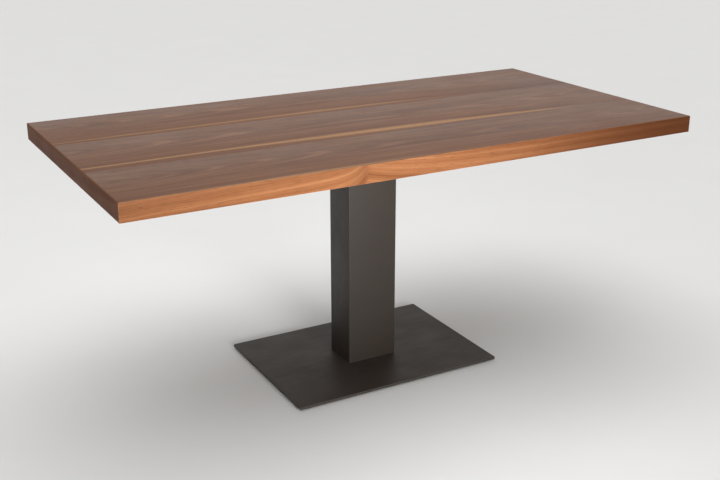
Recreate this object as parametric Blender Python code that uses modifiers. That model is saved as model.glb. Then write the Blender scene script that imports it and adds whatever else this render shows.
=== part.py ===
"""A pedestal dining table: a walnut-faced panel top on a steel under-frame, column and base plate.

The origin is on the floor under the middle of the table. +X runs along the table, -Y is its front.
"""

import math

import bmesh
import bpy

# Table top
TOP_LENGTH = 1.800
TOP_WIDTH = 0.900
TOP_THICKNESS = 0.050
TABLE_HEIGHT = 0.785
FACE_THICKNESS = 0.003
EDGE_THICKNESS = 0.003
EDGE_EASING = 0.0008
BOARDS = ("back", "middle", "front")
FACE_SEAMS = (0.140, -0.170)

# Steel under-frame
RAIL_LENGTH = 1.300
RAIL_WIDTH = 0.040
RAIL_DEPTH = 0.030
RAIL_WALL = 0.002
RAIL_CORNER = 0.0024
RAIL_OFFSET = 0.200
CROSS_RAIL_OFFSET = 0.450
HEAD_PLATE_LENGTH = 0.300
HEAD_PLATE_WIDTH = 0.450
HEAD_PLATE_THICKNESS = 0.008
CAP_PLUG_DEPTH = 0.018
CAP_LIP = 0.002

# Column and base plate
COLUMN_WIDTH = 0.168
COLUMN_DEPTH = 0.124
COLUMN_WALL = 0.003
COLUMN_CORNER = 0.004
FLANGE_THICKNESS = 0.012
BASE_LENGTH = 0.700
BASE_WIDTH = 0.500
BASE_THICKNESS = 0.008
BASE_CORNER = 0.003
BASE_EASING = 0.0006

# Levelling feet
FOOT_HEIGHT = 0.005
FOOT_INSET = 0.040
FOOT_THREAD = 0.0030
FOOT_HOLE_DEPTH = 0.0065
FOOT_SHANK = 0.0055
PAD_RADIUS = 0.0130
PAD_THICKNESS = 0.0026
PAD_RECESS_RADIUS = 0.0042
PAD_RECESS_DEPTH = 0.0014
JOURNAL_RADIUS = 0.0035
COLLAR_RADIUS = 0.0075
COLLAR_THICKNESS = 0.0017

# Fasteners: radius of the thread, radius of the head, height of the head
TOP_SCREW = (0.0030, 0.0065, 0.0035)
TOP_SCREW_LENGTH = 0.047
RAIL_BOLT = (0.0040, 0.0080, 0.0060)
RAIL_BOLT_LENGTH = 0.018
COLUMN_BOLT = (0.0050, 0.0100, 0.0080)
COLUMN_BOLT_LENGTH = 0.019
BASE_BOLT = (0.0050, 0.0100, 0.0050)
BASE_BOLT_LENGTH = 0.018
THREAD_TIP = 0.30
HEAD_EASING = 0.12
SOCKET_SHARE = 0.50
SOCKET_DEPTH = 0.60
INSERT_RADIUS = 0.0060
INSERT_LENGTH = 0.014
NUT_WIDTH = 0.014
NUT_THICKNESS = 0.0065

# Fastener places, by name
CORNERS = {"front_left": (-1, -1), "front_right": (1, -1), "back_left": (-1, 1), "back_right": (1, 1)}
TOP_SCREW_X = 0.550
RAIL_BOLT_X = 0.120
FLANGE_BOLT_X = 0.055
FLANGE_BOLT_Y = 0.035

# Clearance between touching pieces, and the number of sides of a round piece
GAP = 0.0003
SIDES = 16
PAD_SIDES = 28

# Heights that follow from the sizes above
UNDER_TOP = TABLE_HEIGHT - TOP_THICKNESS
RAIL_TOP = UNDER_TOP - GAP
RAIL_BOTTOM = RAIL_TOP - RAIL_DEPTH
HEAD_TOP = RAIL_BOTTOM - GAP
HEAD_BOTTOM = HEAD_TOP - HEAD_PLATE_THICKNESS
COLUMN_BOTTOM = FOOT_HEIGHT + BASE_THICKNESS + GAP
COLUMN_TOP = HEAD_BOTTOM - GAP
CORE_BOTTOM = UNDER_TOP + FACE_THICKNESS
CORE_TOP = TABLE_HEIGHT - FACE_THICKNESS

# Finishes: base colour, roughness, metallic
FINISHES = {
    "walnut_face": ((0.23, 0.125, 0.075), 0.38, 0.0),
    "walnut_edge": ((0.36, 0.17, 0.075), 0.40, 0.0),
    "panel_core": ((0.62, 0.49, 0.33), 0.75, 0.0),
    "powder_coated_steel": ((0.052, 0.044, 0.039), 0.45, 0.0),
    "zinc_plated_steel": ((0.62, 0.63, 0.65), 0.30, 1.0),
    "brass": ((0.72, 0.55, 0.26), 0.32, 1.0),
    "black_plastic": ((0.02, 0.02, 0.022), 0.50, 0.0),
    "grey_nylon": ((0.10, 0.10, 0.11), 0.60, 0.0),
}


def corner_places(half_length, half_width):
    """The four (x, y) places at the corners of a rectangle, by name."""
    return {name: (sx * half_length, sy * half_width) for name, (sx, sy) in CORNERS.items()}


TOP_SCREW_PLACES = corner_places(TOP_SCREW_X, RAIL_OFFSET)
TOP_SCREW_PLACES["middle_left"] = (-CROSS_RAIL_OFFSET, 0.0)
TOP_SCREW_PLACES["middle_right"] = (CROSS_RAIL_OFFSET, 0.0)
RAIL_BOLT_PLACES = corner_places(RAIL_BOLT_X, RAIL_OFFSET)
FLANGE_BOLT_PLACES = corner_places(FLANGE_BOLT_X, FLANGE_BOLT_Y)
FOOT_PLACES = corner_places(BASE_LENGTH / 2 - FOOT_INSET, BASE_WIDTH / 2 - FOOT_INSET)


def hole_radius(shaft_radius, sides=SIDES):
    """The corner radius of a many-sided hole whose flat sides clear a shaft by the gap."""
    return (shaft_radius + GAP) / math.cos(math.pi / sides)


# ---------------------------------------------------------------------------------------------
# Making and placing
# ---------------------------------------------------------------------------------------------


def make_materials():
    """One Principled material for each finish."""
    made = {}
    for name, (colour, roughness, metallic) in FINISHES.items():
        material = bpy.data.materials.new(name)
        material.use_nodes = True
        material.diffuse_color = (*colour, 1.0)
        shader = material.node_tree.nodes["Principled BSDF"]
        shader.inputs["Base Color"].default_value = (*colour, 1.0)
        shader.inputs["Roughness"].default_value = roughness
        shader.inputs["Metallic"].default_value = metallic
        made[name] = material
    return made


def place(name, mesh, finish, location=(0.0, 0.0, 0.0), rotation=(0.0, 0.0, 0.0)):
    """A piece of the table, in its finish, at its place."""
    obj = bpy.data.objects.new(name, mesh)
    obj.location = location
    obj.rotation_euler = rotation
    mesh.materials.clear()
    mesh.materials.append(MATERIALS[finish])
    PARTS.objects.link(obj)
    return obj


def place_each(name, mesh, finish, places, height, rotation=(0.0, 0.0, 0.0)):
    """A copy of one mesh at each named (x, y) place, all at one height."""
    for corner, (x, y) in places.items():
        place(name + "_" + corner, mesh, finish, (x, y, height), rotation)


def file_guide(obj):
    """Files a cutter or a template away from the pieces of the table."""
    obj.hide_render = True
    obj.display_type = "WIRE"
    GUIDES.objects.link(obj)
    return obj


def mesh_of(name, bm):
    """A mesh datablock from a bmesh, which is then freed."""
    mesh = bpy.data.meshes.new(name)
    bm.to_mesh(mesh)
    bm.free()
    return mesh


def evaluated_mesh(obj):
    """The object's mesh with its modifiers applied."""
    bpy.context.view_layer.update()
    graph = bpy.context.evaluated_depsgraph_get()
    return bpy.data.meshes.new_from_object(obj.evaluated_get(graph))


def smooth(mesh, degrees=40):
    """Shades a round piece smooth, apart from its sharp edges."""
    mesh.shade_smooth()
    mesh.set_sharp_from_angle(angle=math.radians(degrees))
    return mesh


# ---------------------------------------------------------------------------------------------
# Shapes
# ---------------------------------------------------------------------------------------------


def box_bmesh(size):
    """A box of the given size about its own centre."""
    bm = bmesh.new()
    bmesh.ops.create_cube(bm, size=1.0)
    bmesh.ops.scale(bm, vec=size, verts=bm.verts)
    return bm


def slab(name, size, finish, centre, bottom):
    """A flat box about an (x, y) centre, with its underside at a height."""
    location = (centre[0], centre[1], bottom + size[2] / 2)
    return place(name, mesh_of(name, box_bmesh(size)), finish, location)


def upright(a, b):
    """True for an edge that stands along Z."""
    return abs(a.x - b.x) + abs(a.y - b.y) < 1e-6


def bevel_chosen(obj, width, segments, chosen):
    """Rounds the edges whose two ends pass a test on their own coordinates."""
    bm = bmesh.new()
    bm.from_mesh(obj.data)
    weight = bm.edges.layers.float.new("bevel_weight_edge")
    for edge in bm.edges:
        edge[weight] = float(chosen(edge.verts[0].co, edge.verts[1].co))
    bm.to_mesh(obj.data)
    bm.free()
    bevel = obj.modifiers.new("Eased edges", "BEVEL")
    bevel.limit_method = "WEIGHT"
    bevel.width = width
    bevel.segments = segments
    return obj


def tube_mesh(name, size, corner, segments):
    """The outer skin of a rectangular tube along Z, open at both ends."""
    bm = box_bmesh(size)
    bm.normal_update()
    ends = [face for face in bm.faces if abs(face.normal.z) > 0.5]
    bmesh.ops.delete(bm, geom=ends, context="FACES_ONLY")
    corners = [edge for edge in bm.edges if upright(edge.verts[0].co, edge.verts[1].co)]
    bmesh.ops.bevel(
        bm, geom=corners, offset=corner, segments=segments, profile=0.5, affect="EDGES"
    )
    return mesh_of(name, bm)


def add_wall(obj, wall):
    """Gives an open skin its wall thickness, inwards."""
    solid = obj.modifiers.new("Wall", "SOLIDIFY")
    solid.thickness = wall
    solid.offset = -1.0
    solid.use_even_offset = True
    return obj


def prism(name, radius, height, sides, centre=(0.0, 0.0, 0.0)):
    """An upright prism with that many sides, filed as a cutter."""
    bm = bmesh.new()
    bmesh.ops.create_cone(
        bm, cap_ends=True, segments=sides, radius1=radius, radius2=radius, depth=height
    )
    cutter = bpy.data.objects.new(name, mesh_of(name, bm))
    cutter.location = centre
    return file_guide(cutter)


def turned(name, profile, sides=SIDES):
    """A template whose body is a profile of (radius, height) points turned about Z."""
    mesh = bpy.data.meshes.new(name)
    links = [(index, index + 1) for index in range(len(profile) - 1)]
    mesh.from_pydata([(radius, 0.0, height) for radius, height in profile], links, [])
    template = file_guide(bpy.data.objects.new(name, mesh))
    turn = template.modifiers.new("Turn", "SCREW")
    turn.steps = sides
    turn.render_steps = sides
    turn.use_merge_vertices = True
    turn.merge_threshold = 0.00001
    return template


def combine(obj, other, operation):
    """Cuts one object out of another, or joins it to it."""
    boolean = obj.modifiers.new(operation.title() + " " + other.name, "BOOLEAN")
    boolean.operation = operation
    boolean.solver = "EXACT"
    boolean.object = other


def cutter_at(name, template, places, height):
    """One cutter that repeats a template's body at each (x, y) place."""
    source = evaluated_mesh(template)
    bm = bmesh.new()
    for x, y in places.values():
        first = len(bm.verts)
        bm.from_mesh(source)
        bm.verts.ensure_lookup_table()
        bmesh.ops.translate(bm, verts=bm.verts[first:], vec=(x, y, height))
    return file_guide(bpy.data.objects.new(name, mesh_of(name, bm)))


def round_holes(name, shaft_radius, low, high, places):
    """A cutter for upright holes that clear a shaft, from one height to another."""
    template = prism(name + "_template", hole_radius(shaft_radius), high - low, SIDES)
    return cutter_at(name, template, places, (low + high) / 2)


# ---------------------------------------------------------------------------------------------
# The table top
# ---------------------------------------------------------------------------------------------


def make_top():
    """The panel: a core, a backing sheet, three face boards and four edge bands."""
    length = TOP_LENGTH - 2 * EDGE_THICKNESS
    width = TOP_WIDTH - 2 * EDGE_THICKNESS
    core_size = (length - 2 * GAP, width - 2 * GAP, CORE_TOP - CORE_BOTTOM)
    core = slab("core_panel", core_size, "panel_core", (0, 0), CORE_BOTTOM)
    hole_top = CORE_BOTTOM + INSERT_LENGTH + 2 * GAP
    insert_holes = round_holes(
        "insert_holes", INSERT_RADIUS, CORE_BOTTOM - GAP, hole_top, TOP_SCREW_PLACES
    )
    combine(core, insert_holes, "DIFFERENCE")

    backing_size = (length - 2 * GAP, width - 2 * GAP, FACE_THICKNESS - GAP)
    backing = slab("backing_sheet", backing_size, "walnut_face", (0, 0), UNDER_TOP)
    screw_holes = round_holes(
        "backing_holes", TOP_SCREW[0], UNDER_TOP - GAP, CORE_BOTTOM, TOP_SCREW_PLACES
    )
    combine(backing, screw_holes, "DIFFERENCE")

    borders = (width / 2, *FACE_SEAMS, -width / 2)
    for side, back, front in zip(BOARDS, borders, borders[1:]):
        board_size = (length - 2 * GAP, back - front - GAP, FACE_THICKNESS - GAP)
        centre = (0, (back + front) / 2)
        slab("face_board_" + side, board_size, "walnut_face", centre, CORE_TOP + GAP)

    half_length = TOP_LENGTH / 2
    half_width = TOP_WIDTH / 2
    edge_band("edge_band_right", TOP_WIDTH, (half_length, 0), 0)
    edge_band("edge_band_back", TOP_LENGTH, (0, half_width), 90)
    edge_band("edge_band_left", TOP_WIDTH, (-half_length, 0), 180)
    edge_band("edge_band_front", TOP_LENGTH, (0, -half_width), 270)


def edge_band(name, length, spot, turn):
    """A band with mitred ends. Its outer face is its own +X side, at the given spot."""
    bm = box_bmesh((EDGE_THICKNESS, length, TOP_THICKNESS))
    for vertex in bm.verts:
        setback = GAP / 2 if vertex.co.x > 0 else EDGE_THICKNESS + GAP / 2
        vertex.co.y -= math.copysign(setback, vertex.co.y)
        vertex.co.x -= EDGE_THICKNESS / 2
    location = (spot[0], spot[1], UNDER_TOP + TOP_THICKNESS / 2)
    rotation = (0, 0, math.radians(turn))
    band = place(name, mesh_of(name, bm), "walnut_edge", location, rotation)

    def outer_rim(a, b):
        return a.x > -1e-6 and b.x > -1e-6 and not upright(a, b)

    return bevel_chosen(band, EDGE_EASING, 2, outer_rim)


# ---------------------------------------------------------------------------------------------
# The steel under-frame
# ---------------------------------------------------------------------------------------------


def rail(name, length, centre, turn):
    """A lying rectangular tube along X, turned by that many degrees."""
    mesh = tube_mesh(name, (RAIL_DEPTH, RAIL_WIDTH, length), RAIL_CORNER, 2)
    location = (centre[0], centre[1], (RAIL_TOP + RAIL_BOTTOM) / 2)
    rotation = (0, math.pi / 2, math.radians(turn))
    tube = place(name, mesh, "powder_coated_steel", location, rotation)
    return add_wall(tube, RAIL_WALL)


def make_under_frame():
    """Two long rails with end caps, two cross rails and the head plate under them."""
    screw_holes = round_holes(
        "rail_screw_holes", TOP_SCREW[0], RAIL_BOTTOM - GAP, UNDER_TOP, TOP_SCREW_PLACES
    )
    bolt_holes = round_holes(
        "rail_bolt_holes", RAIL_BOLT[0], HEAD_BOTTOM - GAP, RAIL_BOTTOM + 2 * RAIL_WALL,
        RAIL_BOLT_PLACES,
    )
    for side, sign in (("front", -1), ("back", 1)):
        long_rail = rail("long_rail_" + side, RAIL_LENGTH, (0, sign * RAIL_OFFSET), 0)
        combine(long_rail, screw_holes, "DIFFERENCE")
        combine(long_rail, bolt_holes, "DIFFERENCE")
    between = 2 * RAIL_OFFSET - RAIL_WIDTH - 2 * GAP
    for side, sign in (("left", -1), ("right", 1)):
        cross_rail = rail("cross_rail_" + side, between, (sign * CROSS_RAIL_OFFSET, 0), 90)
        combine(cross_rail, screw_holes, "DIFFERENCE")

    head_size = (HEAD_PLATE_LENGTH, HEAD_PLATE_WIDTH, HEAD_PLATE_THICKNESS)
    head = slab("head_plate", head_size, "powder_coated_steel", (0, 0), HEAD_BOTTOM)
    bevel_chosen(head, COLUMN_CORNER, 3, upright)
    column_holes = round_holes(
        "head_plate_holes", COLUMN_BOLT[0], HEAD_BOTTOM - GAP, RAIL_BOTTOM, FLANGE_BOLT_PLACES
    )
    combine(head, column_holes, "DIFFERENCE")
    combine(head, bolt_holes, "DIFFERENCE")

    cap = end_cap_mesh()
    for corner, (side, depth_side) in CORNERS.items():
        location = (side * RAIL_LENGTH / 2, depth_side * RAIL_OFFSET, (RAIL_TOP + RAIL_BOTTOM) / 2)
        rotation = (0, 0, 0 if side > 0 else math.pi)
        place("rail_end_cap_" + corner, cap, "black_plastic", location, rotation)


def end_cap_mesh():
    """A lip that covers a rail's end, at x = 0, and the plug behind it that enters the tube."""
    bm = box_bmesh((CAP_LIP, RAIL_WIDTH, RAIL_DEPTH))
    bmesh.ops.translate(bm, verts=bm.verts, vec=(CAP_LIP / 2 + GAP, 0, 0))
    bm.normal_update()
    inner = [face for face in bm.faces if face.normal.x < -0.5]
    bmesh.ops.inset_region(bm, faces=inner, thickness=RAIL_WALL + GAP, use_even_offset=True)
    plug = bmesh.ops.extrude_face_region(bm, geom=inner)
    moved = [item for item in plug["geom"] if isinstance(item, bmesh.types.BMVert)]
    bmesh.ops.translate(bm, verts=moved, vec=(-CAP_PLUG_DEPTH, 0, 0))
    bmesh.ops.delete(bm, geom=inner, context="FACES_ONLY")
    bmesh.ops.recalc_face_normals(bm, faces=bm.faces)
    return mesh_of("rail_end_cap", bm)


# ---------------------------------------------------------------------------------------------
# The column and the base plate
# ---------------------------------------------------------------------------------------------


def make_column():
    """The column's folded shell and the tapped flanges inside its two ends."""
    skin_size = (COLUMN_WIDTH, COLUMN_DEPTH, COLUMN_TOP - COLUMN_BOTTOM)
    skin = smooth(tube_mesh("column_shell", skin_size, COLUMN_CORNER, 5))
    middle = (COLUMN_TOP + COLUMN_BOTTOM) / 2
    add_wall(place("column_shell", skin, "powder_coated_steel", (0, 0, middle)), COLUMN_WALL)

    play = 2 * (COLUMN_WALL + GAP)
    flange_size = (COLUMN_WIDTH - play, COLUMN_DEPTH - play, FLANGE_THICKNESS)
    levels = {"top": COLUMN_TOP - FLANGE_THICKNESS, "foot": COLUMN_BOTTOM}
    for end, bottom in levels.items():
        name = "column_" + end + "_flange"
        flange = slab(name, flange_size, "powder_coated_steel", (0, 0), bottom)
        bevel_chosen(flange, COLUMN_WALL, 2, upright)
        top = bottom + FLANGE_THICKNESS
        holes = round_holes(name + "_holes", COLUMN_BOLT[0], bottom - GAP, top + GAP, FLANGE_BOLT_PLACES)
        combine(flange, holes, "DIFFERENCE")


def make_base_plate():
    """The flat plate over the floor, countersunk from below and tapped blind for the feet."""
    size = (BASE_LENGTH, BASE_WIDTH, BASE_THICKNESS)
    base = slab("base_plate", size, "powder_coated_steel", (0, 0), FOOT_HEIGHT)
    bevel_chosen(base, BASE_CORNER, 3, upright)
    rim = base.modifiers.new("Eased rim", "BEVEL")
    rim.limit_method = "ANGLE"
    rim.angle_limit = math.radians(60)
    rim.width = BASE_EASING
    rim.segments = 2

    radius, head_radius, head_height = BASE_BOLT
    clear = hole_radius(radius)
    wide = hole_radius(head_radius)
    sink_profile = [
        (0.0, BASE_THICKNESS + GAP),
        (clear, BASE_THICKNESS + GAP),
        (clear, head_height + 2 * GAP),
        (wide, head_height * HEAD_EASING + 2 * GAP),
        (wide, -GAP),
        (0.0, -GAP),
    ]
    sink = turned("countersink_template", sink_profile)
    sinks = cutter_at("countersinks", sink, FLANGE_BOLT_PLACES, FOOT_HEIGHT)
    combine(base, sinks, "DIFFERENCE")
    foot_hole_top = FOOT_HEIGHT + FOOT_HOLE_DEPTH
    foot_holes = round_holes(
        "foot_holes", FOOT_THREAD, FOOT_HEIGHT - GAP, foot_hole_top, FOOT_PLACES
    )
    combine(base, foot_holes, "DIFFERENCE")


# ---------------------------------------------------------------------------------------------
# Fasteners
# ---------------------------------------------------------------------------------------------


def flange_screw_profile(screw, length):
    """A screw whose flanged head is under z = 0 and whose shank points up."""
    radius, head_radius, head_height = screw
    tip = radius * THREAD_TIP
    flange = head_height * 0.25
    crown = head_radius * 0.78
    ease = head_height * HEAD_EASING
    return [
        (0.0, length),
        (radius - tip, length),
        (radius, length - tip),
        (radius, 0.0),
        (head_radius, 0.0),
        (head_radius, -flange),
        (crown, -flange - ease),
        (crown, ease - head_height),
        (crown - ease, -head_height),
        (0.0, -head_height),
    ]


def countersunk_profile(screw, length):
    """A flush screw whose flat face is at z = 0 and whose shank points up."""
    radius, head_radius, head_height = screw
    tip = radius * THREAD_TIP
    return [
        (0.0, length),
        (radius - tip, length),
        (radius, length - tip),
        (radius, head_height),
        (head_radius, head_height * HEAD_EASING),
        (head_radius, 0.0),
        (0.0, 0.0),
    ]


def screw_mesh(name, profile, screw, face):
    """A turned screw with a hexagonal key socket in its flat face, which is at that height."""
    template = turned(name + "_template", profile)
    depth = screw[2] * SOCKET_DEPTH
    key = prism(name + "_key", screw[1] * SOCKET_SHARE, 2 * depth, 6, (0, 0, face))
    combine(template, key, "DIFFERENCE")
    return smooth(evaluated_mesh(template))


def make_fasteners():
    """The screws, bolts, inserts and nuts that hold the table together."""
    steel = "zinc_plated_steel"
    top_screw = screw_mesh(
        "top_screw", flange_screw_profile(TOP_SCREW, TOP_SCREW_LENGTH), TOP_SCREW, -TOP_SCREW[2]
    )
    place_each("top_screw", top_screw, steel, TOP_SCREW_PLACES, RAIL_BOTTOM - GAP)
    rail_bolt = screw_mesh(
        "rail_bolt", flange_screw_profile(RAIL_BOLT, RAIL_BOLT_LENGTH), RAIL_BOLT, -RAIL_BOLT[2]
    )
    place_each("rail_bolt", rail_bolt, steel, RAIL_BOLT_PLACES, HEAD_BOTTOM - GAP)
    column_bolt = screw_mesh(
        "column_bolt", flange_screw_profile(COLUMN_BOLT, COLUMN_BOLT_LENGTH), COLUMN_BOLT,
        -COLUMN_BOLT[2],
    )
    upside_down = (math.pi, 0, 0)
    place_each(
        "column_bolt", column_bolt, steel, FLANGE_BOLT_PLACES, HEAD_TOP + GAP, upside_down
    )
    base_bolt = screw_mesh(
        "base_bolt", countersunk_profile(BASE_BOLT, BASE_BOLT_LENGTH), BASE_BOLT, 0.0
    )
    place_each("base_bolt", base_bolt, steel, FLANGE_BOLT_PLACES, FOOT_HEIGHT + GAP)

    bore = hole_radius(TOP_SCREW[0])
    sleeve_profile = [
        (bore, INSERT_LENGTH),
        (INSERT_RADIUS, INSERT_LENGTH),
        (INSERT_RADIUS, 0.0),
        (bore, 0.0),
        (bore, INSERT_LENGTH),
    ]
    sleeve = smooth(evaluated_mesh(turned("threaded_insert_template", sleeve_profile)))
    place_each("threaded_insert", sleeve, "brass", TOP_SCREW_PLACES, CORE_BOTTOM + GAP)

    nut_size = (NUT_WIDTH, NUT_WIDTH, NUT_THICKNESS)
    nut = file_guide(bpy.data.objects.new("nut_template", mesh_of("nut", box_bmesh(nut_size))))
    combine(nut, prism("nut_bore", hole_radius(RAIL_BOLT[0]), 2 * NUT_THICKNESS, SIDES), "DIFFERENCE")
    nut_height = RAIL_BOTTOM + RAIL_WALL + GAP + NUT_THICKNESS / 2
    place_each("weld_nut", evaluated_mesh(nut), steel, RAIL_BOLT_PLACES, nut_height)


# ---------------------------------------------------------------------------------------------
# The levelling feet
# ---------------------------------------------------------------------------------------------


def foot_pad_mesh():
    """A round pad on the floor, with a recess that the foot screw's journal turns in."""
    recess = PAD_THICKNESS - PAD_RECESS_DEPTH
    ease = PAD_THICKNESS * 0.25
    profile = [
        (0.0, recess),
        (PAD_RECESS_RADIUS, recess),
        (PAD_RECESS_RADIUS, PAD_THICKNESS),
        (PAD_RADIUS - ease, PAD_THICKNESS),
        (PAD_RADIUS, PAD_THICKNESS - ease),
        (PAD_RADIUS, 0.0),
        (0.0, 0.0),
    ]
    return smooth(evaluated_mesh(turned("foot_pad_template", profile, PAD_SIDES)))


def foot_screw_mesh():
    """A threaded shank, a hexagonal collar under the plate and a journal that sits in the pad."""
    top = FOOT_HEIGHT + FOOT_SHANK
    tip = FOOT_THREAD * THREAD_TIP
    collar_middle = FOOT_HEIGHT - GAP - COLLAR_THICKNESS / 2
    journal_bottom = PAD_THICKNESS - PAD_RECESS_DEPTH + GAP
    profile = [
        (0.0, top),
        (FOOT_THREAD - tip, top),
        (FOOT_THREAD, top - tip),
        (FOOT_THREAD, collar_middle),
        (JOURNAL_RADIUS, collar_middle),
        (JOURNAL_RADIUS, journal_bottom),
        (0.0, journal_bottom),
    ]
    shank = turned("foot_screw_template", profile)
    collar = prism("foot_collar", COLLAR_RADIUS, COLLAR_THICKNESS, 6, (0, 0, collar_middle))
    combine(shank, collar, "UNION")
    return smooth(evaluated_mesh(shank))


def make_feet():
    """Four levelling feet. Each stands on an empty that marks its screw's axis on the floor."""
    pad_mesh = foot_pad_mesh()
    turning_mesh = foot_screw_mesh()
    for corner, (x, y) in FOOT_PLACES.items():
        axis = bpy.data.objects.new("foot_axis_" + corner, None)
        axis.location = (x, y, 0.0)
        PARTS.objects.link(axis)
        pad = place("foot_pad_" + corner, pad_mesh, "grey_nylon")
        turning = place("foot_screw_" + corner, turning_mesh, "zinc_plated_steel")
        pad.parent = axis
        turning.parent = axis


for old in list(bpy.data.objects):
    bpy.data.objects.remove(old)

PARTS = bpy.data.collections.new("pedestal_table")
GUIDES = bpy.data.collections.new("cutters")
for collection in (PARTS, GUIDES):
    bpy.context.scene.collection.children.link(collection)
MATERIALS = make_materials()

make_top()
make_under_frame()
make_column()
make_base_plate()
make_fasteners()
make_feet()
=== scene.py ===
# %% [markdown]
# # A pedestal dining table, finished piece by piece
#
# The table is a walnut-faced panel on a steel under-frame, a rectangular steel column and a flat
# steel base plate. Its measured frame comes packed, with every piece in its place. This lesson
# adds what the frame leaves out: the figure of the wood, the texture of the paint, threads, welds,
# light and a camera. Sizes are in metres, +Z is up and -Y is the table's front.

import math

import bmesh
import bpy
from mathutils import Euler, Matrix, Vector


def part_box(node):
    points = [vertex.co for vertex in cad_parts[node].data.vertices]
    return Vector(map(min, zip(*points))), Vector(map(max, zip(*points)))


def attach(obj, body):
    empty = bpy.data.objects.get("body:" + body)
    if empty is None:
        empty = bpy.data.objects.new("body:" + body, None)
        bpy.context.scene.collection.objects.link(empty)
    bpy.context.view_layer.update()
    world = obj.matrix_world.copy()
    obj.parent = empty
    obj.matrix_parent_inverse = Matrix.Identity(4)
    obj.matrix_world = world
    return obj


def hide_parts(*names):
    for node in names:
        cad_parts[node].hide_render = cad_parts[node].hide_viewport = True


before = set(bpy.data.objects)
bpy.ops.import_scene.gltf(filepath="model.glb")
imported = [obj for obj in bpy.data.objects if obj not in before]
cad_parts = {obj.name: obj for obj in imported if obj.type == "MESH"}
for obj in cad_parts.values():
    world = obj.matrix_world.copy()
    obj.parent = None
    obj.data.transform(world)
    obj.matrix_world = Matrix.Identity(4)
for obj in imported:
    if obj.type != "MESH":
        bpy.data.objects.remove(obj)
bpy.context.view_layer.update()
CORNERS = ("front_left", "front_right", "back_left", "back_right")

# %% [markdown]
# ## Where the camera stands
#
# The table is seen from its front left corner, from a little above the top. A camera can be placed
# by typing its position, but an angle, a height and a distance round the middle of the table are
# easier to read and to change. The lens is a short portrait one, so the long sides draw together
# only gently.

# %% The camera
VIEW_AZIMUTH = math.radians(-29.25)
VIEW_ELEVATION = math.radians(19.74)
VIEW_DISTANCE = 3.363
VIEW_TARGET = Vector((-0.0103, 0.0, 0.3987))

camera_data = bpy.data.cameras.new("table_camera")
camera_data.lens = 53.43
camera_data.sensor_width = 36.0
camera = bpy.data.objects.new("table_camera", camera_data)
camera.rotation_euler = Euler((math.pi / 2 - VIEW_ELEVATION, 0.0, VIEW_AZIMUTH))
toward_camera = camera.rotation_euler.to_matrix() @ Vector((0.0, 0.0, 1.0))
camera.location = VIEW_TARGET + toward_camera * VIEW_DISTANCE
bpy.context.scene.collection.objects.link(camera)
bpy.context.scene.camera = camera
print("camera at", [round(value, 3) for value in camera.location])

# %% [markdown]
# ## Short words for building node trees
#
# A material is a small program made of nodes. Adding nodes one by one takes several lines each, so
# a few helpers say it in one: add a node, fill its inputs, and hand back what comes out of it.

# %% Helpers for node trees
FLOAT = "NodeSocketFloat"
VECTOR = "NodeSocketVector"


def put(tree, socket, value):
    """Gives a socket a value, or links another node's output to it."""
    if isinstance(value, bpy.types.NodeSocket):
        tree.links.new(value, socket)
    else:
        socket.default_value = value


def add(tree, kind, inputs=None, **settings):
    """Adds a node with these settings, and fills its inputs by name or number."""
    made = tree.nodes.new(kind)
    for name, value in settings.items():
        setattr(made, name, value)
    for key, value in (inputs or {}).items():
        put(tree, made.inputs[key], value)
    return made


def maths(tree, operation, *values):
    """The result of one Math node."""
    return add(tree, "ShaderNodeMath", dict(enumerate(values)), operation=operation).outputs[0]


def vector_maths(tree, operation, *values):
    """The result of one Vector Math node."""
    made = add(tree, "ShaderNodeVectorMath", dict(enumerate(values)), operation=operation)
    return made.outputs[0]


def mixed(tree, factor, first, second, blend="MIX"):
    """Two colours, mixed by a factor."""
    inputs = {0: factor, 6: first, 7: second}
    made = add(tree, "ShaderNodeMix", inputs, data_type="RGBA", blend_type=blend)
    return made.outputs[2]


def carried(tree, value, low, high, to_low=0.0, to_high=1.0):
    """A value carried smoothly from one range to another."""
    inputs = {0: value, 1: low, 2: high, 3: to_low, 4: to_high}
    made = add(tree, "ShaderNodeMapRange", inputs, interpolation_type="SMOOTHSTEP")
    return made.outputs[0]


def noise(tree, vector, stretch, detail=2.0, roughness=0.5):
    """Noise from 0 to 1, with this many waves a metre along X, Y and Z."""
    scaled = vector_maths(tree, "MULTIPLY", vector, stretch)
    inputs = {"Vector": scaled, "Scale": 1.0, "Detail": detail, "Roughness": roughness}
    return add(tree, "ShaderNodeTexNoise", inputs).outputs[0]


def noise_line(tree, value, detail=2.0, roughness=0.5):
    """Noise from 0 to 1 that changes with one value only."""
    inputs = {"W": value, "Scale": 1.0, "Detail": detail, "Roughness": roughness}
    return add(tree, "ShaderNodeTexNoise", inputs, noise_dimensions="1D").outputs[0]


def new_group(name, inputs, outputs):
    """A shader group: inputs maps each name to its socket type and default, outputs to its type."""
    tree = bpy.data.node_groups.new(name, "ShaderNodeTree")
    for label, (kind, default) in inputs.items():
        socket = tree.interface.new_socket(label, in_out="INPUT", socket_type=kind)
        socket.default_value = default
    for label, kind in outputs.items():
        tree.interface.new_socket(label, in_out="OUTPUT", socket_type=kind)
    given = tree.nodes.new("NodeGroupInput").outputs
    result = tree.nodes.new("NodeGroupOutput").inputs
    return tree, given, result


def use(tree, group, inputs):
    """Places a shader group in a tree and returns its outputs."""
    made = add(tree, "ShaderNodeGroup", node_tree=group)
    for label, value in inputs.items():
        put(tree, made.inputs[label], value)
    return made.outputs


print("node helpers ready")

# %% [markdown]
# ## How walnut grows
#
# A picture of wood repeats and has one size. Here the figure comes from the tree itself: growth
# rings are tubes round the log's middle, the pith, and a board is a flat slice of them. This log
# was bowed, so the slices pass furthest from the pith in the middle of their length: the rings
# leave them as two sets of long arches that point at each other, and the lines beside them bow
# inwards. The group measures how far a point is from the pith and turns that into bands.

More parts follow.
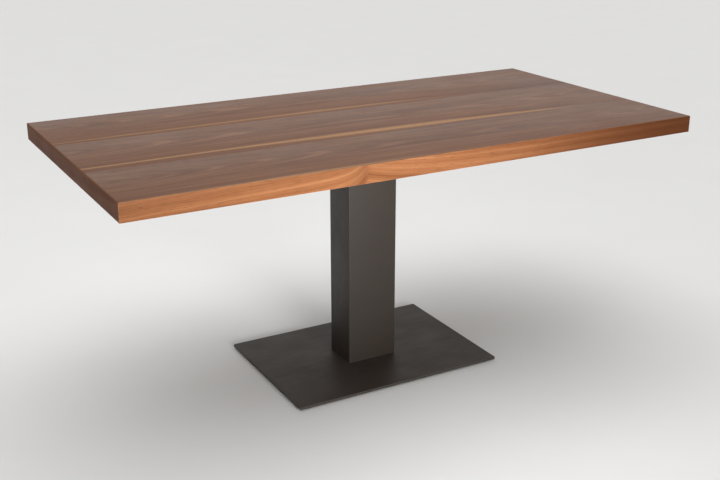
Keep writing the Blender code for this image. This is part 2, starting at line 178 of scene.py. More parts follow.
# %% Shader group: growth rings
growth_rings, given, result = new_group(
    "growth_rings",
    {
        "Vector": (VECTOR, (0.0, 0.0, 0.0)),
        "Pith Y": (FLOAT, 0.0),
        "Pith Slope": (FLOAT, -0.02),
        "Depth": (FLOAT, 0.10),
        "Bow": (FLOAT, 0.06),
        "Bow Centre": (FLOAT, 0.0),
        "Ring Width": (FLOAT, 0.0105),
        "Wander": (FLOAT, 0.012),
        "Phase": (FLOAT, 0.0),
    },
    {"Radius": FLOAT, "Across": FLOAT, "Broad": FLOAT, "Fine": FLOAT, "Arches": FLOAT},
)
tree = growth_rings
parts = add(tree, "ShaderNodeSeparateXYZ", {0: given["Vector"]}).outputs
pith_y = maths(tree, "MULTIPLY_ADD", parts[0], given["Pith Slope"], given["Pith Y"])
across = maths(tree, "SUBTRACT", parts[1], pith_y)
from_middle = maths(tree, "SUBTRACT", parts[0], given["Bow Centre"])
bowed = maths(tree, "MULTIPLY", maths(tree, "MULTIPLY", from_middle, from_middle), given["Bow"])
deep = maths(tree, "SUBTRACT", given["Depth"], bowed)
squares = maths(tree, "MULTIPLY_ADD", across, across, maths(tree, "MULTIPLY", deep, deep))
drift = maths(tree, "SUBTRACT", noise(tree, given["Vector"], (2.2, 17.0, 17.0), 3.0, 0.55), 0.5)
radius = maths(tree, "MULTIPLY_ADD", drift, given["Wander"], maths(tree, "SQRT", squares))
ring = maths(tree, "ADD", maths(tree, "DIVIDE", radius, given["Ring Width"]), given["Phase"])
put(tree, result["Radius"], radius)
put(tree, result["Across"], across)
put(tree, result["Broad"], noise_line(tree, maths(tree, "MULTIPLY", ring, 0.55), 1.0))
put(tree, result["Fine"], noise_line(tree, maths(tree, "MULTIPLY", ring, 2.6), 3.0, 0.6))
swing = maths(tree, "COSINE", maths(tree, "MULTIPLY", ring, math.tau))
crest = maths(tree, "MULTIPLY_ADD", swing, 0.5, 0.5)
uneven = carried(tree, noise(tree, given["Vector"], (5.0, 34.0, 34.0), 2.0), 0.35, 0.65, 0.15, 1.0)
central = carried(tree, maths(tree, "ABSOLUTE", across), 0.07, 0.13, 1.0, 0.25)
narrow_crest = maths(tree, "POWER", crest, 3.5)
arches = maths(tree, "MULTIPLY", narrow_crest, maths(tree, "MULTIPLY", uneven, central))
put(tree, result["Arches"], arches)
print("group:", growth_rings.name)

# %% [markdown]
# ## Fibres and pores
#
# Up close, walnut is a bundle of long fibres with open pores, dark dashes a few tenths of a
# millimetre wide and some centimetres long. Lines drawn one by one would be heavy, so noise is
# stretched along the grain instead: slow along X, fast across it.

# %% Shader group: fibres and pores
wood_fibres, given, result = new_group(
    "wood_fibres",
    {"Vector": (VECTOR, (0.0, 0.0, 0.0)), "Pore Density": (FLOAT, 0.5)},
    {"Streaks": FLOAT, "Fibres": FLOAT, "Pores": FLOAT, "Height": FLOAT},
)
tree = wood_fibres
streaks = noise(tree, given["Vector"], (2.6, 58.0, 58.0), 4.0, 0.62)
fibres = noise(tree, given["Vector"], (7.0, 420.0, 420.0), 3.0, 0.6)
pore_noise = noise(tree, given["Vector"], (34.0, 1150.0, 1150.0), 1.0)
pore_start = maths(tree, "MULTIPLY_ADD", given["Pore Density"], -0.2, 0.72)
pores = carried(tree, pore_noise, pore_start, maths(tree, "ADD", pore_start, 0.1))
put(tree, result["Streaks"], streaks)
put(tree, result["Fibres"], fibres)
put(tree, result["Pores"], pores)
put(tree, result["Height"], maths(tree, "MULTIPLY_ADD", pores, -1.0, fibres))
print("group:", wood_fibres.name)

# %% [markdown]
# ## The pale sapwood ribbon, and a painted highlight
#
# The boards were sawn close to the bark, so a ribbon of pale sapwood runs along one side of each.
# It could be a separate strip, but on the real board it is one ring of the same wood changing
# colour, with a soft edge. So the mask follows one radius of the growth rings, on the front side
# of the pith only, and swells at one place along the board. On the front board the same ribbon
# lies near the front arris, left of the middle, as a painted highlight: the thin bright line that
# the arris catches.

# %% Shader group: a sapwood ribbon
sapwood_and_highlight_ribbon, given, result = new_group(
    "sapwood_and_highlight_ribbon",
    {
        "Vector": (VECTOR, (0.0, 0.0, 0.0)),
        "Radius": (FLOAT, 0.0),
        "Across": (FLOAT, 0.0),
        "Ribbon Radius": (FLOAT, 0.18),
        "Half Width": (FLOAT, 0.003),
        "Swell": (FLOAT, 0.004),
        "Swell Place": (FLOAT, 0.0),
        "Swell Reach": (FLOAT, 0.5),
        "Strength": (FLOAT, 0.6),
        "Fade Place": (FLOAT, 0.7),
    },
    {"Mask": FLOAT},
)
tree = sapwood_and_highlight_ribbon
parts = add(tree, "ShaderNodeSeparateXYZ", {0: given["Vector"]}).outputs
from_swell = maths(tree, "SUBTRACT", parts[0], given["Swell Place"])
from_swell = maths(tree, "DIVIDE", from_swell, given["Swell Reach"])
bell = maths(tree, "EXPONENT", maths(tree, "MULTIPLY", maths(tree, "POWER", from_swell, 2.0), -1.0))
half_width = maths(tree, "MULTIPLY_ADD", given["Swell"], bell, given["Half Width"])
off = maths(tree, "ABSOLUTE", maths(tree, "SUBTRACT", given["Radius"], given["Ribbon Radius"]))
ragged = noise(tree, given["Vector"], (5.0, 260.0, 260.0), 3.0, 0.6)
reach = maths(tree, "MULTIPLY", half_width, maths(tree, "ADD", ragged, 0.55))
line = carried(tree, maths(tree, "DIVIDE", off, reach), 0.0, 1.8, 1.0, 0.0)
front_side = maths(tree, "LESS_THAN", given["Across"], 0.0)
fade = carried(tree, maths(tree, "SUBTRACT", parts[0], given["Fade Place"]), -0.3, 0.2, 1.0, 0.1)
strength = maths(tree, "MULTIPLY", fade, given["Strength"])
put(tree, result["Mask"], maths(tree, "MULTIPLY", maths(tree, "MULTIPLY", line, front_side), strength))
print("group:", sapwood_and_highlight_ribbon.name)

# %% [markdown]
# ## Grain that rises to a point
#
# On each edge band the grain sweeps up to the top arris at one place, where a branch once grew,
# and fans out on both sides of it. Bending the coordinates before the rings are drawn does this:
# near that place every line is lifted, and the lift dies away along the edge. The group also
# marks the dark heart of the branch, so that a finish can darken it.

# %% Shader group: a peak in the grain
grain_peak, given, result = new_group(
    "grain_peak",
    {
        "Vector": (VECTOR, (0.0, 0.0, 0.0)),
        "Place": (FLOAT, 0.0),
        "Rise": (FLOAT, 0.044),
        "Climb": (FLOAT, 0.03),
        "Reach Before": (FLOAT, 0.03),
        "Reach After": (FLOAT, 0.157),
        "Top": (FLOAT, 0.785),
    },
    {"Vector": VECTOR, "Heart": FLOAT},
)
tree = grain_peak
parts = add(tree, "ShaderNodeSeparateXYZ", {0: given["Vector"]}).outputs
away = maths(tree, "SUBTRACT", parts[0], given["Place"])
after = maths(tree, "GREATER_THAN", away, 0.0)
widening = maths(tree, "SUBTRACT", given["Reach After"], given["Reach Before"])
reach = maths(tree, "MULTIPLY_ADD", after, widening, given["Reach Before"])
softened = maths(tree, "SQRT", maths(tree, "MULTIPLY_ADD", away, away, 0.00003))
near = maths(tree, "EXPONENT", maths(tree, "MULTIPLY", maths(tree, "DIVIDE", softened, reach), -1.0))
climb = maths(tree, "MULTIPLY", maths(tree, "MINIMUM", away, 0.0), given["Climb"])
lowered = maths(tree, "SUBTRACT", parts[1], maths(tree, "MULTIPLY_ADD", near, given["Rise"], climb))
bent = add(tree, "ShaderNodeCombineXYZ", {0: parts[0], 1: lowered, 2: parts[2]}).outputs[0]
down = maths(tree, "SUBTRACT", given["Top"], parts[1])
leaning = maths(tree, "MULTIPLY_ADD", down, 0.25, away)
side = maths(tree, "MULTIPLY_ADD", maths(tree, "GREATER_THAN", leaning, 0.0), -0.022, 0.030)
off = maths(tree, "DIVIDE", maths(tree, "ABSOLUTE", leaning), side)
heart = maths(tree, "EXPONENT", maths(tree, "MULTIPLY", off, -1.0))
put(tree, result["Vector"], bent)
put(tree, result["Heart"], heart)
print("group:", grain_peak.name)

# %% [markdown]
# ## Rubbed edges
#
# Hands and cloths polish the corners of a piece first, on wood, paint and plastic alike. An arris
# is where two faces of the piece's box meet, so a point is near one when two of its three
# distances to the box's faces are small: that is the middle one of the three.

# %% Shader group: rubbed edges
rubbed_edges, given, result = new_group(
    "rubbed_edges",
    {
        "Vector": (VECTOR, (0.0, 0.0, 0.0)),
        "Centre": (VECTOR, (0.0, 0.0, 0.0)),
        "Half Size": (VECTOR, (1.0, 1.0, 1.0)),
        "Reach": (FLOAT, 0.0015),
    },
    {"Mask": FLOAT},
)
tree = rubbed_edges
from_centre = vector_maths(tree, "SUBTRACT", given["Vector"], given["Centre"])
inside = vector_maths(tree, "SUBTRACT", given["Half Size"], vector_maths(tree, "ABSOLUTE", from_centre))
depth = add(tree, "ShaderNodeSeparateXYZ", {0: inside}).outputs
lesser = maths(tree, "MINIMUM", depth[0], depth[1])
greater = maths(tree, "MAXIMUM", depth[0], depth[1])
arris = maths(tree, "MAXIMUM", lesser, maths(tree, "MINIMUM", greater, depth[2]))
broken = noise(tree, given["Vector"], (60.0, 60.0, 60.0), 3.0, 0.65)
reach = maths(tree, "MULTIPLY", given["Reach"], maths(tree, "MULTIPLY_ADD", broken, 1.6, 0.2))
put(tree, result["Mask"], carried(tree, maths(tree, "DIVIDE", arris, reach), 0.0, 1.0, 1.0, 0.0))
print("group:", rubbed_edges.name)

# %% [markdown]
# ## Handling marks
#
# A satin surface is never evenly satin: wiping and resting hands leave large soft patches that
# shine a little more. The same patches serve wood, paint and metal, each at its own size.

# %% Shader group: handling marks
handling_marks, given, result = new_group(
    "handling_marks",
    {
        "Vector": (VECTOR, (0.0, 0.0, 0.0)),
        "Size": (FLOAT, 0.15),
        "Dull": (FLOAT, 0.45),
        "Shiny": (FLOAT, 0.35),
    },
    {"Roughness": FLOAT, "Patches": FLOAT},
)
tree = handling_marks
near_scale = vector_maths(tree, "DIVIDE", given["Vector"], given["Size"])
patches = noise(tree, near_scale, (1.0, 1.6, 1.0), 3.0, 0.55)
wiped = noise(tree, near_scale, (2.0, 14.0, 6.0), 2.0)
both = maths(tree, "MULTIPLY_ADD", wiped, 0.3, maths(tree, "MULTIPLY", patches, 0.7))
put(tree, result["Patches"], both)
put(tree, result["Roughness"], carried(tree, both, 0.3, 0.7, given["Dull"], given["Shiny"]))
print("group:", handling_marks.name)

# %% [markdown]
# ## The walnut finish
#
# One function lays the groups together: rings and fibres choose a tone between dark heartwood and
# light, sapwood lines and a painted highlight near the front arris go over it, pores go into it,
# and the arrises are rubbed a little lighter.
# A slow purple cast, which walnut keeps where it was steamed, drifts over the boards; it grows
# toward the right end as painted sheen, which greys the top there. The lacquer is satin on the
# faces and thinner and duller on the edges, so the pores are only just felt in the reflections.

# %% Walnut materials
PURPLE_CAST_AND_SHEEN = (0.092, 0.044, 0.036, 1.0)
SAPWOOD_AND_HIGHLIGHT = (0.40, 0.215, 0.090, 1.0)
PORE_COLOUR = (0.045, 0.022, 0.014, 1.0)
KNOT_HEART = (0.110, 0.042, 0.018, 1.0)
HEARTWOOD_AND_SHADE = (0.100, 0.030, 0.011, 1.0)
RUBBED_WOOD = (0.40, 0.22, 0.12, 1.0)
FACE_BROAD_SHARE = 0.20
EDGE_BROAD_SHARE = 0.36
TONE_SHARES = {"Fine": 0.20, "Arches": 0.19, "Streaks": 0.26, "Fibres": 0.12}
FACE_GLOSS = 0.23
EDGE_GLOSS = 0.02
FACE_TONES = (
    (0.22, (0.110, 0.046, 0.024, 1.0)),
    (0.5, (0.165, 0.073, 0.038, 1.0)),
    (0.8, (0.235, 0.115, 0.058, 1.0)),
)
EDGE_TONES = (
    (0.22, (0.165, 0.060, 0.023, 1.0)),
    (0.5, (0.250, 0.100, 0.042, 1.0)),
    (0.8, (0.335, 0.150, 0.067, 1.0)),
)


def new_material(name):
    """An empty node material and its tree, with the place of each point at rest."""
    material = bpy.data.materials.new(name)
    material.use_nodes = True
    material.node_tree.nodes.clear()
    place = add(material.node_tree, "ShaderNodeTexCoord").outputs["Object"]
    return material, material.node_tree, place


def finished(tree, colour, roughness, height, depth, **constants):
    """Ends a material: the shader, the bump that bends its normals, and the output."""
    bump = add(tree, "ShaderNodeBump", {"Height": height, "Distance": depth, "Strength": 1.0})
    inputs = {"Base Color": colour, "Roughness": roughness, "Normal": bump.outputs[0]}
    shader = add(tree, "ShaderNodeBsdfPrincipled", inputs)
    for label, value in constants.items():
        shader.inputs[label.replace("_", " ").title().replace("Ior", "IOR")].default_value = value
    add(tree, "ShaderNodeOutputMaterial", {"Surface": shader.outputs[0]})


def ramp(tree, value, stops):
    """A colour picked along a row of (position, colour) stops."""
    made = add(tree, "ShaderNodeValToRGB", {0: value})
    while len(made.color_ramp.elements) < len(stops):
        made.color_ramp.elements.new(0.5)
    for element, (position, colour) in zip(made.color_ramp.elements, stops):
        element.position = position
        element.color = colour
    return made.outputs[0]


def walnut(name, tones, box, rings, ribbon=None, peak=None, edge=None, darker=None):
    """Lacquered walnut, seen on the top and bottom faces, or on a long edge ("x" or "y")."""
    material, tree, place = new_material(name)
    parts = add(tree, "ShaderNodeSeparateXYZ", {0: place}).outputs
    order = {None: (0, 1, 2), "x": (0, 2, 1), "y": (1, 2, 0)}[edge]
    broad_share = EDGE_BROAD_SHARE if edge else FACE_BROAD_SHARE
    grain = add(tree, "ShaderNodeCombineXYZ", {n: parts[axis] for n, axis in enumerate(order)}).outputs[0]
    if peak:
        bent = use(tree, grain_peak, {"Vector": grain, **peak})
        grain = bent["Vector"]
    growth = use(tree, growth_rings, {"Vector": grain, **rings})
    fibre = use(tree, wood_fibres, {"Vector": grain})

    tone = maths(tree, "MULTIPLY", growth["Broad"], broad_share)
    shown = {"Fine": growth["Fine"], "Arches": growth["Arches"]}
    shown.update({"Streaks": fibre["Streaks"], "Fibres": fibre["Fibres"]})
    for label, share in TONE_SHARES.items():
        tone = maths(tree, "MULTIPLY_ADD", shown[label], share, tone)
    spread = maths(tree, "MULTIPLY_ADD", tone, 2.0, -0.15 - broad_share)
    colour = ramp(tree, spread, tones)
    if edge is None:
        cast_and_sheen = carried(tree, noise(tree, grain, (1.8, 9.0, 9.0), 2.0), 0.42, 0.72, 0.0, 0.5)
        # The cast grows toward the right end: painted sheen, greying the top there.
        painted_sheen_toward_right = carried(tree, parts[0], -0.3, 0.8, 0.15, 1.0)
        cast_and_sheen = maths(tree, "MULTIPLY", cast_and_sheen, painted_sheen_toward_right)
        colour = mixed(tree, cast_and_sheen, colour, PURPLE_CAST_AND_SHEEN)
    if peak:
        colour = mixed(tree, maths(tree, "MULTIPLY", bent["Heart"], 0.45), colour, KNOT_HEART)
    if darker:
        # Heartwood darkening along the band; on the front and left bands it is also painted shade.
        start, end, amount = darker
        lengthwise = add(tree, "ShaderNodeSeparateXYZ", {0: grain}).outputs[0]
        heartwood_and_shade = carried(tree, lengthwise, start, end, 0.0, amount)
        colour = mixed(tree, heartwood_and_shade, colour, HEARTWOOD_AND_SHADE)
    if ribbon:
        inputs = {"Vector": grain, "Radius": growth["Radius"], "Across": growth["Across"], **ribbon}
        mask = use(tree, sapwood_and_highlight_ribbon, inputs)["Mask"]
        colour = mixed(tree, mask, colour, SAPWOOD_AND_HIGHLIGHT)
    colour = mixed(tree, maths(tree, "MULTIPLY", fibre["Pores"], 0.5), colour, PORE_COLOUR)
    low, high = box
    edges = {"Vector": place, "Centre": (low + high) / 2, "Half Size": (high - low) / 2}
    rubbed = use(tree, rubbed_edges, edges)["Mask"]
    colour = mixed(tree, maths(tree, "MULTIPLY", rubbed, 0.35), colour, RUBBED_WOOD)

    marks = use(tree, handling_marks, {"Vector": place, "Size": 0.22, "Dull": 0.44, "Shiny": 0.36})
    roughness = maths(tree, "MULTIPLY_ADD", fibre["Pores"], 0.12, marks["Roughness"])
    gloss = EDGE_GLOSS if edge else FACE_GLOSS
    finished(tree, colour, roughness, fibre["Height"], 0.00006, specular_ior_level=gloss)
    return material


front_low, front_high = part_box("edge_band_front")
TOP_BOX = (
    Vector((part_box("edge_band_left")[0].x, front_low.y, front_low.z)),
    Vector((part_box("edge_band_right")[1].x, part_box("edge_band_back")[1].y, front_high.z)),
)
BAND_THICKNESS = front_high.y - front_low.y
BOARD_LOGS = {
    "back": {"Pith Y": 0.319, "Pith Slope": -0.020, "Bow": 0.064, "Phase": 0.0},
    "middle": {"Pith Y": 0.018, "Pith Slope": -0.030, "Bow": 0.050, "Phase": 0.2},
    "front": {"Pith Y": -0.289, "Pith Slope": -0.020, "Bow": 0.064, "Bow Centre": 0.12, "Phase": 0.5},
}
RIBBONS = {
    "back": {
        "Ribbon Radius": 0.1815, "Half Width": 0.0040, "Swell": 0.0030, "Swell Place": -0.1,
        "Strength": 0.50, "Fade Place": 0.35,
    },
    "middle": {
        "Ribbon Radius": 0.183, "Half Width": 0.0048, "Swell": 0.0070, "Swell Place": 0.1,
        "Strength": 0.72, "Fade Place": 0.75,
    },
    # The front board's ribbon is a painted highlight near the front arris, pale like sapwood.
    "front": {
        "Ribbon Radius": 0.180, "Half Width": 0.0020, "Swell": 0.0030, "Swell Place": -0.4,
        "Swell Reach": 0.3, "Strength": 0.70, "Fade Place": -0.15,
    },
}
board_wood = {
    board: walnut("walnut_board_" + board, FACE_TONES, TOP_BOX, log, ribbon=RIBBONS[board])
    for board, log in BOARD_LOGS.items()
}

BAND_LOG = {"Pith Y": 0.60, "Pith Slope": 0.006, "Depth": 0.02, "Bow": 0.0, "Ring Width": 0.012}
BAND_PEAKS = {
    "front": {"Place": -0.240},
    "back": {"Place": 0.520, "Rise": 0.030, "Reach Before": 0.080, "Reach After": 0.080},
    "left": {"Place": -0.470, "Rise": 0.060, "Reach After": 0.350},
    "right": {"Place": 0.160, "Rise": 0.020, "Reach Before": 0.090, "Reach After": 0.070},
}
# Heartwood darkening along each band. On the front band the darkening toward the right end is partly
# painted shade, where the front light falls off; on the left band it is painted shade over nearly the
# whole end, which faces away from the light.
BAND_DARKER = {
    "front": (-0.05, 0.82, 0.78),
    "back": (-0.2, -0.9, 0.35),
    "left": (-0.95, -0.30, 0.80),
    "right": (0.4, -0.3, 0.4),
}
BAND_EDGES = {"front": "x", "back": "x", "left": "y", "right": "y"}
band_wood = {
    side: walnut(
        "walnut_band_" + side, EDGE_TONES, TOP_BOX, {**BAND_LOG, "Phase": 7.3 * number},
        peak={**BAND_PEAKS[side], "Top": TOP_BOX[1].z}, edge=BAND_EDGES[side],
        darker=BAND_DARKER[side],
    )
    for number, side in enumerate(BAND_EDGES)
}
backing_wood = walnut(
    "walnut_backing", FACE_TONES, TOP_BOX, {"Pith Y": 0.9, "Depth": 0.3, "Bow": 0.02, "Ring Width": 0.014}
)
print("walnut:", len(board_wood) + len(band_wood) + 1, "materials")

# %% [markdown]
# ## The blockboard core
#
# Inside the top is blockboard: softwood strips glued side by side, each with its own tone. Only a
# screw hole ever shows it, but it is real wood, so it gets strips, glue lines and a raw surface.

# %% Core material
STRIP_WIDTH = 0.028
core_wood, tree, place = new_material("blockboard")
parts = add(tree, "ShaderNodeSeparateXYZ", {0: place}).outputs
strip = maths(tree, "DIVIDE", parts[1], STRIP_WIDTH)
strip_number = maths(tree, "FLOOR", strip)
strip_tone = add(tree, "ShaderNodeTexWhiteNoise", {"W": strip_number}, noise_dimensions="1D")
from_glue = maths(tree, "ABSOLUTE", maths(tree, "SUBTRACT", maths(tree, "FRACT", strip), 0.5))
glue = carried(tree, from_glue, 0.48, 0.5)
fibre = use(tree, wood_fibres, {"Vector": place, "Pore Density": 0.0})
tone = maths(tree, "MULTIPLY", fibre["Streaks"], 0.5)
tone = maths(tree, "MULTIPLY_ADD", strip_tone.outputs[0], 0.5, tone)
colour = mixed(tree, tone, (0.50, 0.36, 0.21, 1.0), (0.70, 0.57, 0.40, 1.0))
colour = mixed(tree, glue, colour, (0.36, 0.24, 0.13, 1.0))
finished(tree, colour, 0.8, fibre["Height"], 0.0001)
print("material:", core_wood.name)

# %% [markdown]
# ## Powder coat
#
# The steel is powder coated: dry paint melted on in an oven, which sets as a fine, slightly
# pebbled skin, brown-black and satin. Each piece's box tells the rubbed edges where its corners
# are. The pebble is bump, because a real one is a few hundredths of a millimetre high. The base
# plate is lightened in patches, a painted light for what its flat top catches from above.

# %% Shader group and materials: powder coat
PAINT_DARK = (0.0205, 0.0142, 0.0104, 1.0)
PAINT_LIGHT = (0.0308, 0.0222, 0.0165, 1.0)
PAINT_RUBBED = (0.060, 0.052, 0.046, 1.0)
PAINTED_TOP_LIGHT_TONE = (0.20, 0.17, 0.15, 1.0)

pebble_skin, given, result = new_group(
    "pebble_skin",
    {"Vector": (VECTOR, (0.0, 0.0, 0.0)), "Grain Size": (FLOAT, 0.0011)},
    {"Height": FLOAT, "Speckle": FLOAT},
)
tree = pebble_skin
at_size = vector_maths(tree, "DIVIDE", given["Vector"], given["Grain Size"])
orange_peel = noise(tree, at_size, (0.35, 0.35, 0.35), 1.0)
pebbles = add(
    tree, "ShaderNodeTexVoronoi", {"Vector": at_size, "Scale": 1.0, "Smoothness": 0.6},
    feature="SMOOTH_F1",
).outputs["Distance"]
put(tree, result["Height"], maths(tree, "MULTIPLY_ADD", pebbles, -0.7, orange_peel))
put(tree, result["Speckle"], noise(tree, at_size, (1.3, 1.3, 1.3), 2.0))


def powder_coat(name, box, top_light=0.0):
    """Satin powder coat for a piece that fills this box, lightened in patches by painted light of this
    strength.
    """
    material, tree, place = new_material(name)
    skin = use(tree, pebble_skin, {"Vector": place})
    marks = use(tree, handling_marks, {"Vector": place, "Size": 0.16, "Dull": 0.50, "Shiny": 0.40})
    low, high = box
    edges = {
        "Vector": place, "Centre": (low + high) / 2, "Half Size": (high - low) / 2, "Reach": 0.0022,
    }
    rubbed = use(tree, rubbed_edges, edges)["Mask"]
    tone = maths(tree, "MULTIPLY", marks["Patches"], 0.4)
    tone = maths(tree, "MULTIPLY_ADD", skin["Speckle"], 0.6, tone)
    colour = mixed(tree, carried(tree, tone, 0.3, 0.7), PAINT_DARK, PAINT_LIGHT)
    # Painted light: the piece is lightened in patches, for light falling on the base plate's flat top.
    colour = mixed(tree, maths(tree, "MULTIPLY", marks["Patches"], top_light), colour, PAINTED_TOP_LIGHT_TONE)
    colour = mixed(tree, maths(tree, "MULTIPLY", rubbed, 0.5), colour, PAINT_RUBBED)
    roughness = maths(tree, "MULTIPLY_ADD", skin["Speckle"], 0.08, marks["Roughness"])
    finished(tree, colour, roughness, skin["Height"], 0.00004, specular_ior_level=0.35)
    return material


PAINTED = (
    "base_plate", "head_plate", "column_top_flange", "column_foot_flange",
    "long_rail_front", "long_rail_back", "cross_rail_left", "cross_rail_right",
)
# The base plate gets painted light: lighter patches for what its flat top catches from above.
PAINTED_TOP_LIGHT = {"base_plate": 0.12}
paint = {
    node: powder_coat("paint_" + node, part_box(node), PAINTED_TOP_LIGHT.get(node, 0.0)) for node in PAINTED
}
paint["column"] = powder_coat("paint_column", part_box("column_shell"))
print("powder coat:", len(paint), "materials")

# %% [markdown]
# ## Metal and plastic small parts
#
# Zinc plate is a thin, cloudy, faintly blue mirror; brass is turned, so it keeps fine rings; the
# plastics are moulded, with a matt spark-eroded skin. Each is one material on every such piece.

# %% Zinc, brass and plastics
def plated(name, dark, light, roughness_low, roughness_high):
    """Bare or plated metal with a cloudy colour and fine tool marks."""
    material, tree, place = new_material(name)
    cloud = noise(tree, place, (130.0, 130.0, 130.0), 3.0, 0.6)
    tool = noise(tree, place, (500.0, 500.0, 3800.0), 2.0)
    marks = use(
        tree, handling_marks,
        {"Vector": place, "Size": 0.012, "Dull": roughness_high, "Shiny": roughness_low},
    )
    colour = mixed(tree, cloud, dark, light)
    finished(tree, colour, marks["Roughness"], tool, 0.00002, metallic=1.0)
    return material


def moulded(name, dark, light, roughness):
    """Moulded plastic with a fine matt skin."""
    material, tree, place = new_material(name)
    skin = use(tree, pebble_skin, {"Vector": place, "Grain Size": 0.0005})
    marks = use(
        tree, handling_marks,
        {"Vector": place, "Size": 0.02, "Dull": roughness + 0.08, "Shiny": roughness - 0.06},
    )
    colour = mixed(tree, skin["Speckle"], dark, light)
    finished(tree, colour, marks["Roughness"], skin["Height"], 0.00003)
    return material


zinc = plated("zinc_plate", (0.50, 0.52, 0.56, 1.0), (0.72, 0.73, 0.74, 1.0), 0.22, 0.40)
brass = plated("turned_brass", (0.60, 0.42, 0.17, 1.0), (0.80, 0.62, 0.31, 1.0), 0.24, 0.38)
cap_plastic = moulded("cap_plastic", (0.014, 0.014, 0.016, 1.0), (0.030, 0.030, 0.033, 1.0), 0.52)
pad_nylon = moulded("pad_nylon", (0.085, 0.086, 0.092, 1.0), (0.135, 0.136, 0.142, 1.0), 0.62)
print("small materials:", zinc.name, brass.name, cap_plastic.name, pad_nylon.name)

# %% [markdown]
# ## Pieces whose shape is already right
#
# Plates, rails, flanges, inserts and nuts come from the frame at their true shape, so they only
# change their finish.

# %% Dress the frame's own pieces
TOP_SCREWS = CORNERS + ("middle_left", "middle_right")
dressed = {node: paint[node] for node in PAINTED}
dressed["core_panel"] = core_wood
dressed["backing_sheet"] = backing_wood
dressed.update({"threaded_insert_" + place: brass for place in TOP_SCREWS})
dressed.update({"weld_nut_" + corner: zinc for corner in CORNERS})
for node, material in dressed.items():
    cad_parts[node].material_slots[0].material = material
print("dressed:", len(dressed), "pieces of the frame")

# %% [markdown]
# ## The face boards
#
# Three boards, glued edge to edge, make the top's face. In the frame they keep a hair's gap, so
# here each is made again up to its neighbour, with arrises broken by a tenth of a millimetre, as a
# cabinet maker's last pass with fine paper leaves them.

# %% Face boards
SEAM_EASING = 0.00012


def finish_mesh(name, bm, material, smooth_angle=30):
    """Turns a bmesh into a shown object with one material, smooth up to an angle."""
    bmesh.ops.recalc_face_normals(bm, faces=bm.faces)
    mesh = bpy.data.meshes.new(name)
    bm.to_mesh(mesh)
    bm.free()
    return show_mesh(name, mesh, material, smooth_angle)


def show_mesh(name, mesh, material, smooth_angle=30):
    """Links a mesh as an object at the origin, shaded smooth up to an angle."""
    mesh.materials.clear()
    mesh.materials.append(material)
    mesh.shade_smooth()
    mesh.set_sharp_from_angle(angle=math.radians(smooth_angle))
    made = bpy.data.objects.new(name, mesh)
    bpy.context.scene.collection.objects.link(made)
    return made


def block(low, high):
    """A bmesh box between two corners."""
    bm = bmesh.new()
    bmesh.ops.create_cube(bm, size=1.0)
    size = Vector(high) - Vector(low)
    bmesh.ops.scale(bm, vec=size, verts=bm.verts)
    bmesh.ops.translate(bm, vec=(Vector(low) + Vector(high)) / 2, verts=bm.verts)
    return bm


def settle(piece, body, slot, *nodes):
    """Attaches a finished piece to the body it rides on and hides the nodes it stands for; the slot is
    not used.
    """
    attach(piece, body)
    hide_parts(*nodes)
    return piece


top_low, top_high = TOP_BOX
inner_low = top_low + Vector((BAND_THICKNESS, BAND_THICKNESS, 0.0))
inner_high = top_high - Vector((BAND_THICKNESS, BAND_THICKNESS, 0.0))
seams = [
    (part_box("face_board_" + near)[1].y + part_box("face_board_" + far)[0].y) / 2
    for near, far in (("front", "middle"), ("middle", "back"))
]
borders = [inner_low.y, *seams, inner_high.y]
for board, near, far in zip(("front", "middle", "back"), borders, borders[1:]):
    node = "face_board_" + board
    bm = block((inner_low.x, near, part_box(node)[0].z), (inner_high.x, far, top_high.z))
    top_edges = [edge for edge in bm.edges if min(vert.co.z for vert in edge.verts) > top_high.z - 0.0001]
    bmesh.ops.bevel(bm, geom=top_edges, offset=SEAM_EASING, segments=2, profile=0.5, affect="EDGES")
    piece = finish_mesh("board_" + board, bm, board_wood[board])
    settle(piece, "table", "walnut_face", node)
    print("board:", board, "is", round(far - near, 3), "m wide")

# %% [markdown]
# ## The edge bands
#
# Long-grain bands close the four sides and meet in mitres at the corners. Each is a box whose two
# inner ends are drawn back by its thickness, with the two outer arrises rounded over. That
# rounding is real geometry, because it is what draws the thin bright line along the top.

# %% Edge bands
ARRIS_RADIUS = 0.0008
SIDES = {"front": (0, -1), "back": (0, 1), "left": (-1, 0), "right": (1, 0)}


def band(side):
    """One mitred band, its outer face on the outside of the top."""
    x_side, y_side = SIDES[side]
    low, high = top_low.copy(), top_high.copy()
    axis = 0 if x_side else 1
    if (x_side or y_side) < 0:
        high[axis] = low[axis] + BAND_THICKNESS
    else:
        low[axis] = high[axis] - BAND_THICKNESS
    bm = block(low, high)
    outer = low[axis] if (x_side or y_side) < 0 else high[axis]
    along = 1 - axis
    for vert in bm.verts:
        if abs(vert.co[axis] - outer) > BAND_THICKNESS / 2:
            vert.co[along] -= math.copysign(BAND_THICKNESS, vert.co[along])
    arrises = [
        edge for edge in bm.edges
        if all(abs(vert.co[axis] - outer) < 1e-6 for vert in edge.verts)
        and abs(edge.verts[0].co.z - edge.verts[1].co.z) < 1e-6
    ]
    bmesh.ops.bevel(bm, geom=arrises, offset=ARRIS_RADIUS, segments=4, profile=0.5, affect="EDGES")
    return finish_mesh("band_" + side, bm, band_wood[side])


for side in SIDES:
    settle(band(side), "table", "walnut_edge", "edge_band_" + side)
print("bands:", len(SIDES), "with a", ARRIS_RADIUS * 1000, "mm arris")

# %% [markdown]
# ## Growing pieces with Geometry Nodes
#
# Where one shape repeats, or follows a rule, a Geometry Nodes tree makes it from a few named
# sizes: change a size and the piece follows. The helpers below build a tree, run it on an object
# that holds the places as loose points, and keep the result as a plain mesh.

